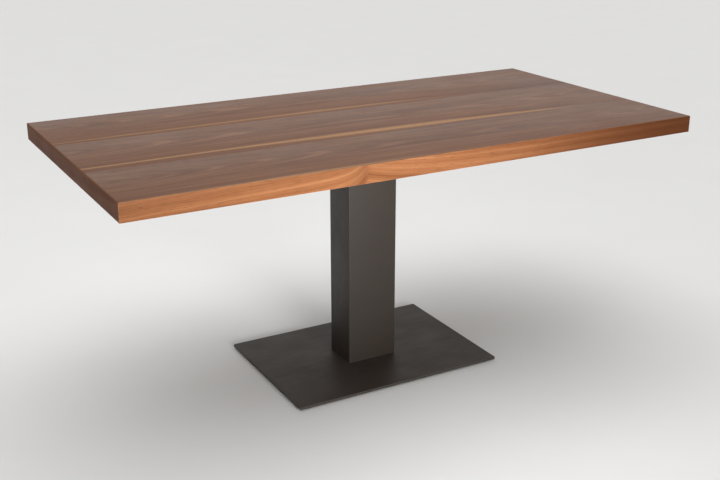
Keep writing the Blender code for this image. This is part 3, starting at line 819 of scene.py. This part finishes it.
# %% Helpers for Geometry Nodes
GEOMETRY = "NodeSocketGeometry"
MATERIAL = "NodeSocketMaterial"
INTEGER = "NodeSocketInt"


def geometry_tree(name, inputs):
    """A Geometry Nodes tree whose inputs map each name to its socket type and default."""
    tree = bpy.data.node_groups.new(name, "GeometryNodeTree")
    tree.interface.new_socket("Geometry", in_out="INPUT", socket_type=GEOMETRY)
    for label, (kind, default) in inputs.items():
        socket = tree.interface.new_socket(label, in_out="INPUT", socket_type=kind)
        if default is not None:
            socket.default_value = default
    tree.interface.new_socket("Material", in_out="INPUT", socket_type=MATERIAL)
    tree.interface.new_socket("Geometry", in_out="OUTPUT", socket_type=GEOMETRY)
    return tree, tree.nodes.new("NodeGroupInput").outputs


def end_tree(tree, given, geometry):
    """Realizes the instances, sets the material and closes the tree."""
    real = add(tree, "GeometryNodeRealizeInstances", {0: geometry}).outputs[0]
    painted = add(tree, "GeometryNodeSetMaterial", {"Geometry": real, "Material": given["Material"]})
    add(tree, "NodeGroupOutput", {0: painted.outputs[0]})


def grown(name, tree, points, material, values, edges=()):
    """Runs a tree on loose points or a path, and returns the plain mesh as an object."""
    start = bpy.data.meshes.new(name + "_places")
    start.from_pydata([tuple(point) for point in points], edges, [])
    made = bpy.data.objects.new(name, start)
    bpy.context.scene.collection.objects.link(made)
    modifier = made.modifiers.new("Grow", "NODES")
    modifier.node_group = tree
    sockets = {
        item.name: item.identifier for item in tree.interface.items_tree if item.in_out == "INPUT"
    }
    modifier[sockets["Material"]] = material
    for label, value in values.items():
        modifier[sockets[label]] = value
    evaluated = made.evaluated_get(bpy.context.evaluated_depsgraph_get())
    mesh = bpy.data.meshes.new_from_object(evaluated)
    made.modifiers.remove(modifier)
    made.data = mesh
    mesh.name = name
    mesh.shade_smooth()
    mesh.set_sharp_from_angle(angle=math.radians(35))
    bpy.data.meshes.remove(start)
    return made


def joined(tree, *geometries):
    """Several geometries as one."""
    made = add(tree, "GeometryNodeJoinGeometry")
    for geometry in geometries:
        tree.links.new(geometry, made.inputs[0])
    return made.outputs[0]


def moved(tree, geometry, translation=None, rotation=None, scale=None):
    """A geometry moved, turned or scaled."""
    choices = {"Translation": translation, "Rotation": rotation, "Scale": scale}
    inputs = {label: value for label, value in choices.items() if value is not None}
    return add(tree, "GeometryNodeTransform", {"Geometry": geometry, **inputs}).outputs[0]


def upward(tree, height):
    """A vector of this height along Z."""
    return add(tree, "ShaderNodeCombineXYZ", {2: height}).outputs[0]


def cone(tree, sides, bottom_radius, top_radius, height):
    """A closed round piece that stands on z = 0; equal radii make a cylinder."""
    inputs = {
        "Vertices": sides, "Radius Bottom": bottom_radius, "Radius Top": top_radius, "Depth": height,
    }
    return add(tree, "GeometryNodeMeshCone", inputs).outputs["Mesh"]


print("geometry helpers ready")

# %% [markdown]
# ## The column
#
# The column is a folded steel tube, a rectangle with small rounded corners. Its shape follows one
# rule, an outline with a wall drawn up along Z, so a tree makes it: outer and inner outlines are
# filled as a ring, and the ring is extruded.

# %% Geometry Nodes: rounded tube
def outline(tree, width, depth, corner, steps):
    """A rectangle with rounded corners, as a closed curve."""
    square = add(tree, "GeometryNodeCurvePrimitiveQuadrilateral", {"Width": width, "Height": depth})
    inputs = {"Curve": square.outputs[0], "Radius": corner, "Count": steps}
    return add(tree, "GeometryNodeFilletCurve", inputs, mode="POLY").outputs[0]


def drawn_up(tree, curves, height):
    """Fills closed curves and extrudes the face along Z into a closed solid."""
    foot = add(tree, "GeometryNodeFillCurve", {0: curves}).outputs[0]
    inputs = {"Mesh": foot, "Offset": (0.0, 0.0, 1.0), "Offset Scale": height, "Individual": False}
    raised = add(tree, "GeometryNodeExtrudeMesh", inputs).outputs[0]
    closed = joined(tree, raised, add(tree, "GeometryNodeFlipFaces", {0: foot}).outputs[0])
    return add(tree, "GeometryNodeMergeByDistance", {"Geometry": closed, "Distance": 0.00001}).outputs[0]


rounded_tube, given = geometry_tree(
    "rounded_tube",
    {
        "Width": (FLOAT, 0.1), "Depth": (FLOAT, 0.1), "Length": (FLOAT, 0.5), "Bottom": (FLOAT, 0.0),
        "Wall": (FLOAT, 0.003), "Corner Radius": (FLOAT, 0.004), "Corner Steps": (INTEGER, 8),
    },
)
tree = rounded_tube
inner_width = maths(tree, "MULTIPLY_ADD", given["Wall"], -2.0, given["Width"])
inner_depth = maths(tree, "MULTIPLY_ADD", given["Wall"], -2.0, given["Depth"])
inner_corner = maths(tree, "SUBTRACT", given["Corner Radius"], given["Wall"])
outer = outline(tree, given["Width"], given["Depth"], given["Corner Radius"], given["Corner Steps"])
inner = outline(tree, inner_width, inner_depth, inner_corner, given["Corner Steps"])
tube = drawn_up(tree, joined(tree, outer, inner), given["Length"])
end_tree(tree, given, moved(tree, tube, translation=upward(tree, given["Bottom"])))

COLUMN_WALL = 0.003
COLUMN_CORNER = 0.004
shell_low, shell_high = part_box("column_shell")
column = grown(
    "column_tube", rounded_tube, [(0.0, 0.0, 0.0)], paint["column"],
    {
        "Width": shell_high.x - shell_low.x, "Depth": shell_high.y - shell_low.y,
        "Length": shell_high.z - shell_low.z, "Bottom": shell_low.z, "Wall": COLUMN_WALL,
        "Corner Radius": COLUMN_CORNER, "Corner Steps": 8,
    },
)
settle(column, "table", "powder_coated_steel", "column_shell")
print("column:", len(column.data.polygons), "faces")

# %% [markdown]
# ## Screws and bolts
#
# Machine screws hold the top to the rails, the rails to the head plate and the column to both
# plates. One could be modelled and copied, but four kinds share one rule, so the trees below take
# the thread, head and key sizes as inputs and put a screw at every place. The thread is a real
# helix: each point of a rod is drawn in by how far it is, along and round, from the crest.

# %% Geometry Nodes: threads and heads
ROUND_SIDES = 24
THREAD_SIDES = 16
STEPS_PER_TURN = 5
GROOVE_SLOPE = 1.1
TIP_CHAMFER = 0.8
OVERLAP = 0.0002


def boolean(tree, operation, first, *others):
    """Joins solids into one body, or cuts the others out of the first."""
    made = add(tree, "GeometryNodeMeshBoolean", operation=operation, solver="EXACT")
    if operation == "DIFFERENCE":
        tree.links.new(first, made.inputs["Mesh 1"])
    else:
        others = (first, *others)
    for other in others:
        tree.links.new(other, made.inputs["Mesh 2"])
    return made.outputs[0]


def thread(tree, radius, length, pitch):
    """A threaded rod that stands on z = 0, with its tip chamfered."""
    turns = maths(tree, "DIVIDE", length, pitch)
    inputs = {
        "Vertices": THREAD_SIDES, "Side Segments": maths(tree, "MULTIPLY", turns, STEPS_PER_TURN),
        "Radius": radius, "Depth": length,
    }
    rod = add(tree, "GeometryNodeMeshCylinder", inputs).outputs["Mesh"]
    half_length = maths(tree, "MULTIPLY", length, 0.5)
    standing = moved(tree, rod, translation=upward(tree, half_length))
    here = add(tree, "GeometryNodeInputPosition").outputs[0]
    parts = add(tree, "ShaderNodeSeparateXYZ", {0: here}).outputs
    turned = maths(tree, "DIVIDE", maths(tree, "ARCTAN2", parts[1], parts[0]), math.tau)
    along = maths(tree, "SUBTRACT", maths(tree, "DIVIDE", parts[2], pitch), turned)
    from_crest = maths(tree, "ABSOLUTE", maths(tree, "SUBTRACT", maths(tree, "FRACT", along), 0.5))
    groove = maths(tree, "MULTIPLY", maths(tree, "MULTIPLY", from_crest, GROOVE_SLOPE), pitch)
    from_tip = maths(tree, "SUBTRACT", parts[2], length)
    chamfer = maths(tree, "MULTIPLY_ADD", pitch, TIP_CHAMFER, from_tip)
    drawn_in = maths(tree, "MAXIMUM", groove, maths(tree, "MAXIMUM", chamfer, 0.0))
    share = maths(tree, "DIVIDE", maths(tree, "SUBTRACT", radius, drawn_in), radius)
    factor = add(tree, "ShaderNodeCombineXYZ", {0: share, 1: share, 2: 1.0}).outputs[0]
    placed = vector_maths(tree, "MULTIPLY", here, factor)
    return add(tree, "GeometryNodeSetPosition", {"Geometry": standing, "Position": placed}).outputs[0]


def at_places(tree, solid, rotation=(0.0, 0.0, 0.0)):
    """A copy of the solid at each loose point that the tree is given."""
    points = tree.nodes["Group Input"].outputs["Geometry"]
    inputs = {"Points": points, "Instance": solid, "Rotation": rotation}
    return add(tree, "GeometryNodeInstanceOnPoints", inputs).outputs[0]


SCREW_SIZES = {
    "Thread Radius": (FLOAT, 0.003), "Pitch": (FLOAT, 0.001), "Length": (FLOAT, 0.02),
    "Head Radius": (FLOAT, 0.0065), "Head Height": (FLOAT, 0.0035),
    "Key Share": (FLOAT, 0.5), "Key Depth": (FLOAT, 0.6),
}


def key_socket(tree, given, face):
    """A hexagonal prism that reaches into the head from its face, which is at that height."""
    deep = maths(tree, "MULTIPLY", given["Head Height"], given["Key Depth"])
    across = maths(tree, "MULTIPLY", given["Head Radius"], given["Key Share"])
    tall = maths(tree, "MULTIPLY", deep, 2.0)
    prism = cone(tree, 6, across, across, tall)
    return moved(tree, prism, translation=upward(tree, maths(tree, "SUBTRACT", face, deep)))


FLANGE_SHARE = 0.25
EASE_SHARE = 0.12
CROWN_SHARE = 0.78

flanged_screw, given = geometry_tree(
    "flanged_screw", {**SCREW_SIZES, "Turn Over": (VECTOR, (0.0, 0.0, 0.0))}
)
tree = flanged_screw
height = given["Head Height"]
head = given["Head Radius"]
flange_height = maths(tree, "MULTIPLY", height, FLANGE_SHARE)
ease = maths(tree, "MULTIPLY", height, EASE_SHARE)
crown = maths(tree, "MULTIPLY", head, CROWN_SHARE)
crown_face = maths(tree, "SUBTRACT", crown, ease)
crown_height = maths(tree, "SUBTRACT", height, ease)
flange = moved(
    tree, cone(tree, ROUND_SIDES, head, head, flange_height),
    translation=upward(tree, maths(tree, "MULTIPLY", flange_height, -1.0)),
)
slope_bottom = maths(tree, "MULTIPLY", maths(tree, "ADD", flange_height, ease), -1.0)
slope = moved(tree, cone(tree, ROUND_SIDES, crown, head, ease), translation=upward(tree, slope_bottom))
barrel = moved(
    tree, cone(tree, ROUND_SIDES, crown, crown, maths(tree, "SUBTRACT", crown_height, OVERLAP)),
    translation=upward(tree, maths(tree, "MULTIPLY", crown_height, -1.0)),
)
rim = moved(
    tree, cone(tree, ROUND_SIDES, crown_face, crown, ease),
    translation=upward(tree, maths(tree, "MULTIPLY", height, -1.0)),
)
rod = thread(tree, given["Thread Radius"], maths(tree, "ADD", given["Length"], OVERLAP), given["Pitch"])
rod = moved(tree, rod, translation=(0.0, 0.0, -OVERLAP))
whole = boolean(tree, "UNION", flange, slope, barrel, rim, rod)
face = maths(tree, "MULTIPLY", height, -1.0)
cut = boolean(tree, "DIFFERENCE", whole, key_socket(tree, given, face))
end_tree(tree, given, at_places(tree, cut, given["Turn Over"]))

sunk_screw, given = geometry_tree("sunk_screw", SCREW_SIZES)
tree = sunk_screw
rim_height = maths(tree, "MULTIPLY", given["Head Height"], EASE_SHARE)
rim = cone(tree, ROUND_SIDES, given["Head Radius"], given["Head Radius"], rim_height)
taper_height = maths(tree, "SUBTRACT", given["Head Height"], rim_height)
taper = moved(
    tree, cone(tree, ROUND_SIDES, given["Head Radius"], given["Thread Radius"], taper_height),
    translation=upward(tree, rim_height),
)
rod_start = maths(tree, "SUBTRACT", given["Head Height"], OVERLAP * 2)
rod_length = maths(tree, "SUBTRACT", given["Length"], rod_start)
rod = thread(tree, given["Thread Radius"], rod_length, given["Pitch"])
whole = boolean(tree, "UNION", rim, taper, moved(tree, rod, translation=upward(tree, rod_start)))
cut = boolean(tree, "DIFFERENCE", whole, key_socket(tree, given, 0.0))
end_tree(tree, given, at_places(tree, cut))
print("trees:", flanged_screw.name, sunk_screw.name)

# %% [markdown]
# ## Setting the screws
#
# Each screw stands for its own node of the frame, and the node's box says where it goes: the
# middle in plan, and the bearing face in height. Everything on the table is one body, so each
# size of screw becomes one plain mesh.

# %% Place the screws and bolts
def axis_places(nodes, height):
    """The plan middle of each node's box, at one height."""
    places = []
    for node in nodes:
        low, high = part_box(node)
        places.append(((low.x + high.x) / 2, (low.y + high.y) / 2, height))
    return places


def screw_set(name, tree, nodes, height, sizes):
    """Grows one size of screw at the places of its nodes and settles it on the table."""
    piece = grown(name, tree, axis_places(nodes, height), zinc, sizes)
    settle(piece, "table", "zinc_plated_steel", *nodes)
    print(name, len(nodes), "screws", len(piece.data.polygons), "faces")


TOP_HEAD = {"Thread Radius": 0.003, "Pitch": 0.001, "Head Radius": 0.0065, "Head Height": 0.0035}
RAIL_HEAD = {"Thread Radius": 0.004, "Pitch": 0.00125, "Head Radius": 0.008, "Head Height": 0.006}
COLUMN_HEAD = {"Thread Radius": 0.005, "Pitch": 0.0015, "Head Radius": 0.010, "Head Height": 0.008}
SUNK_HEAD = {"Thread Radius": 0.005, "Pitch": 0.0015, "Head Radius": 0.010, "Head Height": 0.005}

top_screws = ["top_screw_" + place for place in TOP_SCREWS]
low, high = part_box(top_screws[0])
bearing = low.z + TOP_HEAD["Head Height"]
screw_set("top_screws", flanged_screw, top_screws, bearing, {**TOP_HEAD, "Length": high.z - bearing})

rail_bolts = ["rail_bolt_" + corner for corner in CORNERS]
low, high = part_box(rail_bolts[0])
bearing = low.z + RAIL_HEAD["Head Height"]
screw_set("rail_bolts", flanged_screw, rail_bolts, bearing, {**RAIL_HEAD, "Length": high.z - bearing})

column_bolts = ["column_bolt_" + corner for corner in CORNERS]
low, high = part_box(column_bolts[0])
bearing = high.z - COLUMN_HEAD["Head Height"]
screw_set(
    "column_bolts", flanged_screw, column_bolts, bearing,
    {**COLUMN_HEAD, "Length": bearing - low.z, "Turn Over": (math.pi, 0.0, 0.0)},
)

base_bolts = ["base_bolt_" + corner for corner in CORNERS]
low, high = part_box(base_bolts[0])
screw_set("base_bolts", sunk_screw, base_bolts, low.z, {**SUNK_HEAD, "Length": high.z - low.z})

# %% [markdown]
# ## Levelling feet
#
# Four feet level the plate: a nylon pad with a fluted rim to grip, and a screw whose hexagonal
# collar is turned by a thin spanner. Each pad slides with its own body and each screw turns on
# its own, so each becomes its own mesh.

# %% Geometry Nodes: foot screws and pads
COLLAR_RADIUS = 0.0075
COLLAR_THICKNESS = 0.0017
JOURNAL_RADIUS = 0.0035
COLLAR_GAP = 0.0003
RIM_SIDES = 192

foot_screw, given = geometry_tree(
    "foot_screw",
    {
        "Thread Radius": (FLOAT, 0.003), "Pitch": (FLOAT, 0.001), "Bottom": (FLOAT, 0.0015),
        "Collar Bottom": (FLOAT, 0.003), "Top": (FLOAT, 0.0105),
    },
)
tree = foot_screw
journal_height = maths(tree, "SUBTRACT", given["Collar Bottom"], given["Bottom"])
journal_height = maths(tree, "ADD", journal_height, OVERLAP)
journal = moved(
    tree, cone(tree, ROUND_SIDES, JOURNAL_RADIUS, JOURNAL_RADIUS, journal_height),
    translation=upward(tree, given["Bottom"]),
)
collar = cone(tree, 6, COLLAR_RADIUS, COLLAR_RADIUS, COLLAR_THICKNESS)
chamfer = cone(tree, ROUND_SIDES, COLLAR_RADIUS * 0.93, COLLAR_RADIUS * 1.15, COLLAR_THICKNESS)
collar = boolean(tree, "INTERSECT", collar, chamfer)
collar = moved(tree, collar, translation=upward(tree, given["Collar Bottom"]))
rod_length = maths(tree, "SUBTRACT", given["Top"], given["Collar Bottom"])
rod_length = maths(tree, "SUBTRACT", rod_length, COLLAR_THICKNESS - OVERLAP)
rod_start = maths(tree, "ADD", given["Collar Bottom"], COLLAR_THICKNESS - OVERLAP)
rod = thread(tree, given["Thread Radius"], rod_length, given["Pitch"])
whole = boolean(tree, "UNION", journal, collar, moved(tree, rod, translation=upward(tree, rod_start)))
end_tree(tree, given, at_places(tree, whole))

fluted_pad, given = geometry_tree(
    "fluted_pad",
    {
        "Radius": (FLOAT, 0.013), "Height": (FLOAT, 0.0026), "Ease": (FLOAT, 0.00065),
        "Recess Radius": (FLOAT, 0.0042), "Recess Depth": (FLOAT, 0.0014),
        "Flutes": (FLOAT, 24.0), "Flute Depth": (FLOAT, 0.0005),
    },
)
tree = fluted_pad
straight = maths(tree, "SUBTRACT", given["Height"], given["Ease"])
top_radius = maths(tree, "SUBTRACT", given["Radius"], given["Ease"])
disc = cone(tree, RIM_SIDES, given["Radius"], given["Radius"], straight)
easing = moved(
    tree, cone(tree, RIM_SIDES, given["Radius"], top_radius, given["Ease"]),
    translation=upward(tree, straight),
)
body = boolean(tree, "UNION", disc, easing)
here = add(tree, "GeometryNodeInputPosition").outputs[0]
parts = add(tree, "ShaderNodeSeparateXYZ", {0: here}).outputs
angle = maths(tree, "MULTIPLY", maths(tree, "ARCTAN2", parts[1], parts[0]), given["Flutes"])
wave = maths(tree, "POWER", maths(tree, "MULTIPLY_ADD", maths(tree, "COSINE", angle), 0.5, 0.5), 3.0)
share = maths(tree, "DIVIDE", maths(tree, "MULTIPLY", wave, given["Flute Depth"]), given["Radius"])
share = maths(tree, "SUBTRACT", 1.0, share)
factor = add(tree, "ShaderNodeCombineXYZ", {0: share, 1: share, 2: 1.0}).outputs[0]
fluted = add(
    tree, "GeometryNodeSetPosition",
    {"Geometry": body, "Position": vector_maths(tree, "MULTIPLY", here, factor)},
).outputs[0]
recess_bottom = maths(tree, "SUBTRACT", given["Height"], given["Recess Depth"])
recess = moved(
    tree, cone(tree, ROUND_SIDES, given["Recess Radius"], given["Recess Radius"], given["Height"]),
    translation=upward(tree, recess_bottom),
)
end_tree(tree, given, at_places(tree, boolean(tree, "DIFFERENCE", fluted, recess)))

plate_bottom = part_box("base_plate")[0].z
for corner in CORNERS:
    node = "foot_screw_" + corner
    low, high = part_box(node)
    collar_bottom = plate_bottom - COLLAR_GAP - COLLAR_THICKNESS
    sizes = {"Bottom": low.z, "Collar Bottom": collar_bottom, "Top": high.z}
    place = axis_places([node], 0.0)
    turning = grown("foot_screw_" + corner + "_threaded", foot_screw, place, zinc, sizes)
    settle(turning, "screw_" + corner, "zinc_plated_steel", node)
    node = "foot_pad_" + corner
    low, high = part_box(node)
    sizes = {"Radius": (high.x - low.x) / 2, "Height": high.z}
    place = axis_places([node], 0.0)
    pad = grown("foot_pad_" + corner + "_fluted", fluted_pad, place, pad_nylon, sizes)
    settle(pad, "pad_" + corner, "grey_nylon", node)
foot_faces = len(turning.data.polygons) + len(pad.data.polygons)
print("feet:", len(CORNERS), "pads and screws,", foot_faces, "faces each")

# %% [markdown]
# ## End caps
#
# A moulded plug closes each end of the long rails: a lip the size of the tube, and behind it a
# stem with thin fins that bend and grip the bore. Fins repeat, so the tree sets them along the
# stem, and turns each cap by the side of the table it is on.

# %% Geometry Nodes: end caps
CAP_LIP = 0.002
FIN_THICKNESS = 0.0010
FIN_CORNER = 0.0008

end_cap, given = geometry_tree(
    "end_cap",
    {
        "Width": (FLOAT, 0.040), "Height": (FLOAT, 0.030),
        "Lip": (FLOAT, CAP_LIP), "Wall": (FLOAT, 0.0023),
        "Plug Depth": (FLOAT, 0.018), "Corner Radius": (FLOAT, 0.0024), "Fins": (INTEGER, 4),
        "Fin Height": (FLOAT, 0.0011),
    },
)
tree = end_cap
bore_height = maths(tree, "MULTIPLY_ADD", given["Wall"], -2.0, given["Height"])
bore_width = maths(tree, "MULTIPLY_ADD", given["Wall"], -2.0, given["Width"])
lip_outline = outline(tree, given["Height"], given["Width"], given["Corner Radius"], 6)
lip = drawn_up(tree, lip_outline, given["Lip"])
fin = drawn_up(tree, outline(tree, bore_height, bore_width, FIN_CORNER, 3), FIN_THICKNESS)
stem_height = maths(tree, "MULTIPLY_ADD", given["Fin Height"], -2.0, bore_height)
stem_width = maths(tree, "MULTIPLY_ADD", given["Fin Height"], -2.0, bore_width)
stem_length = maths(tree, "ADD", given["Plug Depth"], OVERLAP)
stem = drawn_up(tree, outline(tree, stem_height, stem_width, FIN_CORNER, 3), stem_length)
stem = moved(tree, stem, translation=upward(tree, maths(tree, "MULTIPLY", given["Plug Depth"], -1.0)))
spacing = maths(tree, "DIVIDE", given["Plug Depth"], maths(tree, "MULTIPLY", given["Fins"], -1.15))
steps = add(
    tree, "GeometryNodeMeshLine",
    {"Count": given["Fins"], "Start Location": upward(tree, spacing), "Offset": upward(tree, spacing)},
).outputs[0]
fins = add(tree, "GeometryNodeInstanceOnPoints", {"Points": steps, "Instance": fin}).outputs[0]
fins = add(tree, "GeometryNodeRealizeInstances", {0: fins}).outputs[0]
whole = boolean(tree, "UNION", lip, stem, fins)
here = add(tree, "ShaderNodeSeparateXYZ", {0: add(tree, "GeometryNodeInputPosition").outputs[0]}).outputs
quarter_turn = maths(tree, "MULTIPLY", maths(tree, "SIGN", here[0]), math.pi / 2)
outward = add(tree, "ShaderNodeCombineXYZ", {1: quarter_turn}).outputs[0]
end_tree(tree, given, at_places(tree, whole, outward))

cap_nodes = ["rail_end_cap_" + corner for corner in CORNERS]
cap_places = []
for node in cap_nodes:
    low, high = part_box(node)
    outer_end = low.x if low.x < 0 else high.x
    middle = (low + high) / 2
    cap_places.append((outer_end - math.copysign(CAP_LIP, outer_end), middle.y, middle.z))
caps = grown("rail_end_caps", end_cap, cap_places, cap_plastic, {})
settle(caps, "table", "black_plastic", *cap_nodes)
print("end caps:", len(caps.data.polygons), "faces")

# %% [markdown]
# ## Welds
#
# The cross rails are welded between the long ones. A weld is laid as overlapping drops, which
# leave a ripple every few millimetres: the tree sweeps a round section along each seam and lets
# the ripple swell and thin it. The paint went on after, so it has the same finish as the rails.

# %% Geometry Nodes: weld beads
BEAD_RADIUS = 0.0022
BEAD_INSET = 0.0030

weld_bead, given = geometry_tree(
    "weld_bead",
    {
        "Radius": (FLOAT, BEAD_RADIUS), "Ripple": (FLOAT, 0.0026), "Ripple Depth": (FLOAT, 0.16),
        "Step": (FLOAT, 0.0005), "Bend": (FLOAT, 0.0025),
    },
)
tree = weld_bead
seam = add(tree, "GeometryNodeMeshToCurve", {"Mesh": given["Geometry"]}).outputs[0]
eased = add(
    tree, "GeometryNodeFilletCurve", {"Curve": seam, "Radius": given["Bend"], "Count": 4}, mode="POLY"
).outputs[0]
fine = add(
    tree, "GeometryNodeResampleCurve", {"Curve": eased, "Length": given["Step"]}, mode="LENGTH"
)
along = add(tree, "GeometryNodeSplineParameter").outputs["Length"]
drop = maths(tree, "FRACT", maths(tree, "DIVIDE", along, given["Ripple"]))
swell = maths(tree, "SINE", maths(tree, "MULTIPLY", drop, math.pi))
scale = maths(tree, "MULTIPLY_ADD", maths(tree, "SUBTRACT", swell, 1.0), given["Ripple Depth"], 1.0)
section = add(tree, "GeometryNodeCurvePrimitiveCircle", {"Resolution": 12, "Radius": given["Radius"]})
inputs = {
    "Curve": fine.outputs[0], "Profile Curve": section.outputs[0], "Scale": scale, "Fill Caps": True,
}
end_tree(tree, given, add(tree, "GeometryNodeCurveToMesh", inputs).outputs[0])

seam_points = []
seam_links = []
for node in ("cross_rail_left", "cross_rail_right"):
    low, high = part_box(node)
    for y in (low.y, high.y):
        first = len(seam_points)
        top = high.z - BEAD_INSET
        seam_points += [(low.x, y, top), (low.x, y, low.z), (high.x, y, low.z), (high.x, y, top)]
        seam_links += [(first + step, first + step + 1) for step in range(3)]
paint["welds"] = powder_coat("paint_welds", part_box("cross_rail_left"))
welds = grown("rail_welds", weld_bead, seam_points, paint["welds"], {}, edges=seam_links)
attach(welds, "table")
print("welds:", len(welds.data.polygons), "faces")

# %% [markdown]
# ## Light and floor
#
# Soft light suits wood and satin paint. A low panel in front lights the edge and the column, and a
# grid narrows it so that little spills on the floor. A second panel hangs over the top. A very
# soft sun stands in for a lit ceiling, and the room itself is brighter to the back right and near
# the horizon, which puts a gentle sheen on the lacquer. The floor is plain and pale.

# %% Floor, lights and world
FLOOR_SIZE = 160.0
FRONT_POWER = 12.4
TOP_POWER = 5.0
SKYLIGHT = 1.95
SKYLIGHT_ANGLE = math.radians(75)
BRIGHT_SIDE = Vector((0.55, 0.80, 0.15))
DIM_SKY = 0.20
BRIGHT_SKY = 0.60
HORIZON = 0.72


def softbox(name, location, target, size, power, spread=180):
    """A large soft light that faces a target; a grid in front narrows its spread."""
    data = bpy.data.lights.new(name, "AREA")
    data.shape = "RECTANGLE"
    data.size, data.size_y = size
    data.energy = power
    data.spread = math.radians(spread)
    made = bpy.data.objects.new(name, data)
    made.location = location
    made.rotation_euler = (Vector(location) - Vector(target)).to_track_quat("Z", "Y").to_euler()
    made.visible_camera = False
    bpy.context.scene.collection.objects.link(made)
    return made


softbox("front_panel", (-0.22, -2.70, 0.72), (-0.20, -0.45, 0.74), (1.2, 0.5), FRONT_POWER, spread=60)
softbox("top_panel", (0.25, 0.30, 2.50), (0.25, 0.30, 0.785), (1.2, 0.9), TOP_POWER)

skylight_data = bpy.data.lights.new("skylight", "SUN")
skylight_data.energy = SKYLIGHT
skylight_data.angle = SKYLIGHT_ANGLE
skylight = bpy.data.objects.new("skylight", skylight_data)
bpy.context.scene.collection.objects.link(skylight)

floor_material, tree, place = new_material("pale_floor")
cloud = noise(tree, place, (3.0, 3.0, 3.0), 3.0)
tint = mixed(tree, cloud, (0.74, 0.74, 0.735, 1.0), (0.77, 0.77, 0.765, 1.0))
finished(tree, tint, 0.75, noise(tree, place, (90.0, 90.0, 90.0), 2.0), 0.00005)
bm = bmesh.new()
bmesh.ops.create_grid(bm, x_segments=1, y_segments=1, size=FLOOR_SIZE / 2)
floor = finish_mesh("floor", bm, floor_material)

world = bpy.data.worlds.new("soft_studio")
world.use_nodes = True
tree = world.node_tree
direction = add(tree, "ShaderNodeTexCoord").outputs["Generated"]
toward_bright = add(
    tree, "ShaderNodeVectorMath", {0: direction, 1: BRIGHT_SIDE.normalized()}, operation="DOT_PRODUCT"
).outputs["Value"]
sky = carried(tree, toward_bright, -0.2, 0.9, DIM_SKY, BRIGHT_SKY)
height = add(tree, "ShaderNodeSeparateXYZ", {0: direction}).outputs[2]
low_down = carried(tree, height, 0.08, 0.22, 1.0, 0.0)
strength = maths(tree, "MAXIMUM", sky, maths(tree, "MULTIPLY", low_down, HORIZON))
put(tree, tree.nodes["Background"].inputs["Strength"], strength)
tree.nodes["Background"].inputs["Color"].default_value = (1.0, 0.985, 0.965, 1.0)
bpy.context.scene.world = world
bpy.context.scene.view_settings.view_transform = "Standard"
print("lights: 2 panels and a soft sun, floor", FLOOR_SIZE, "m across")
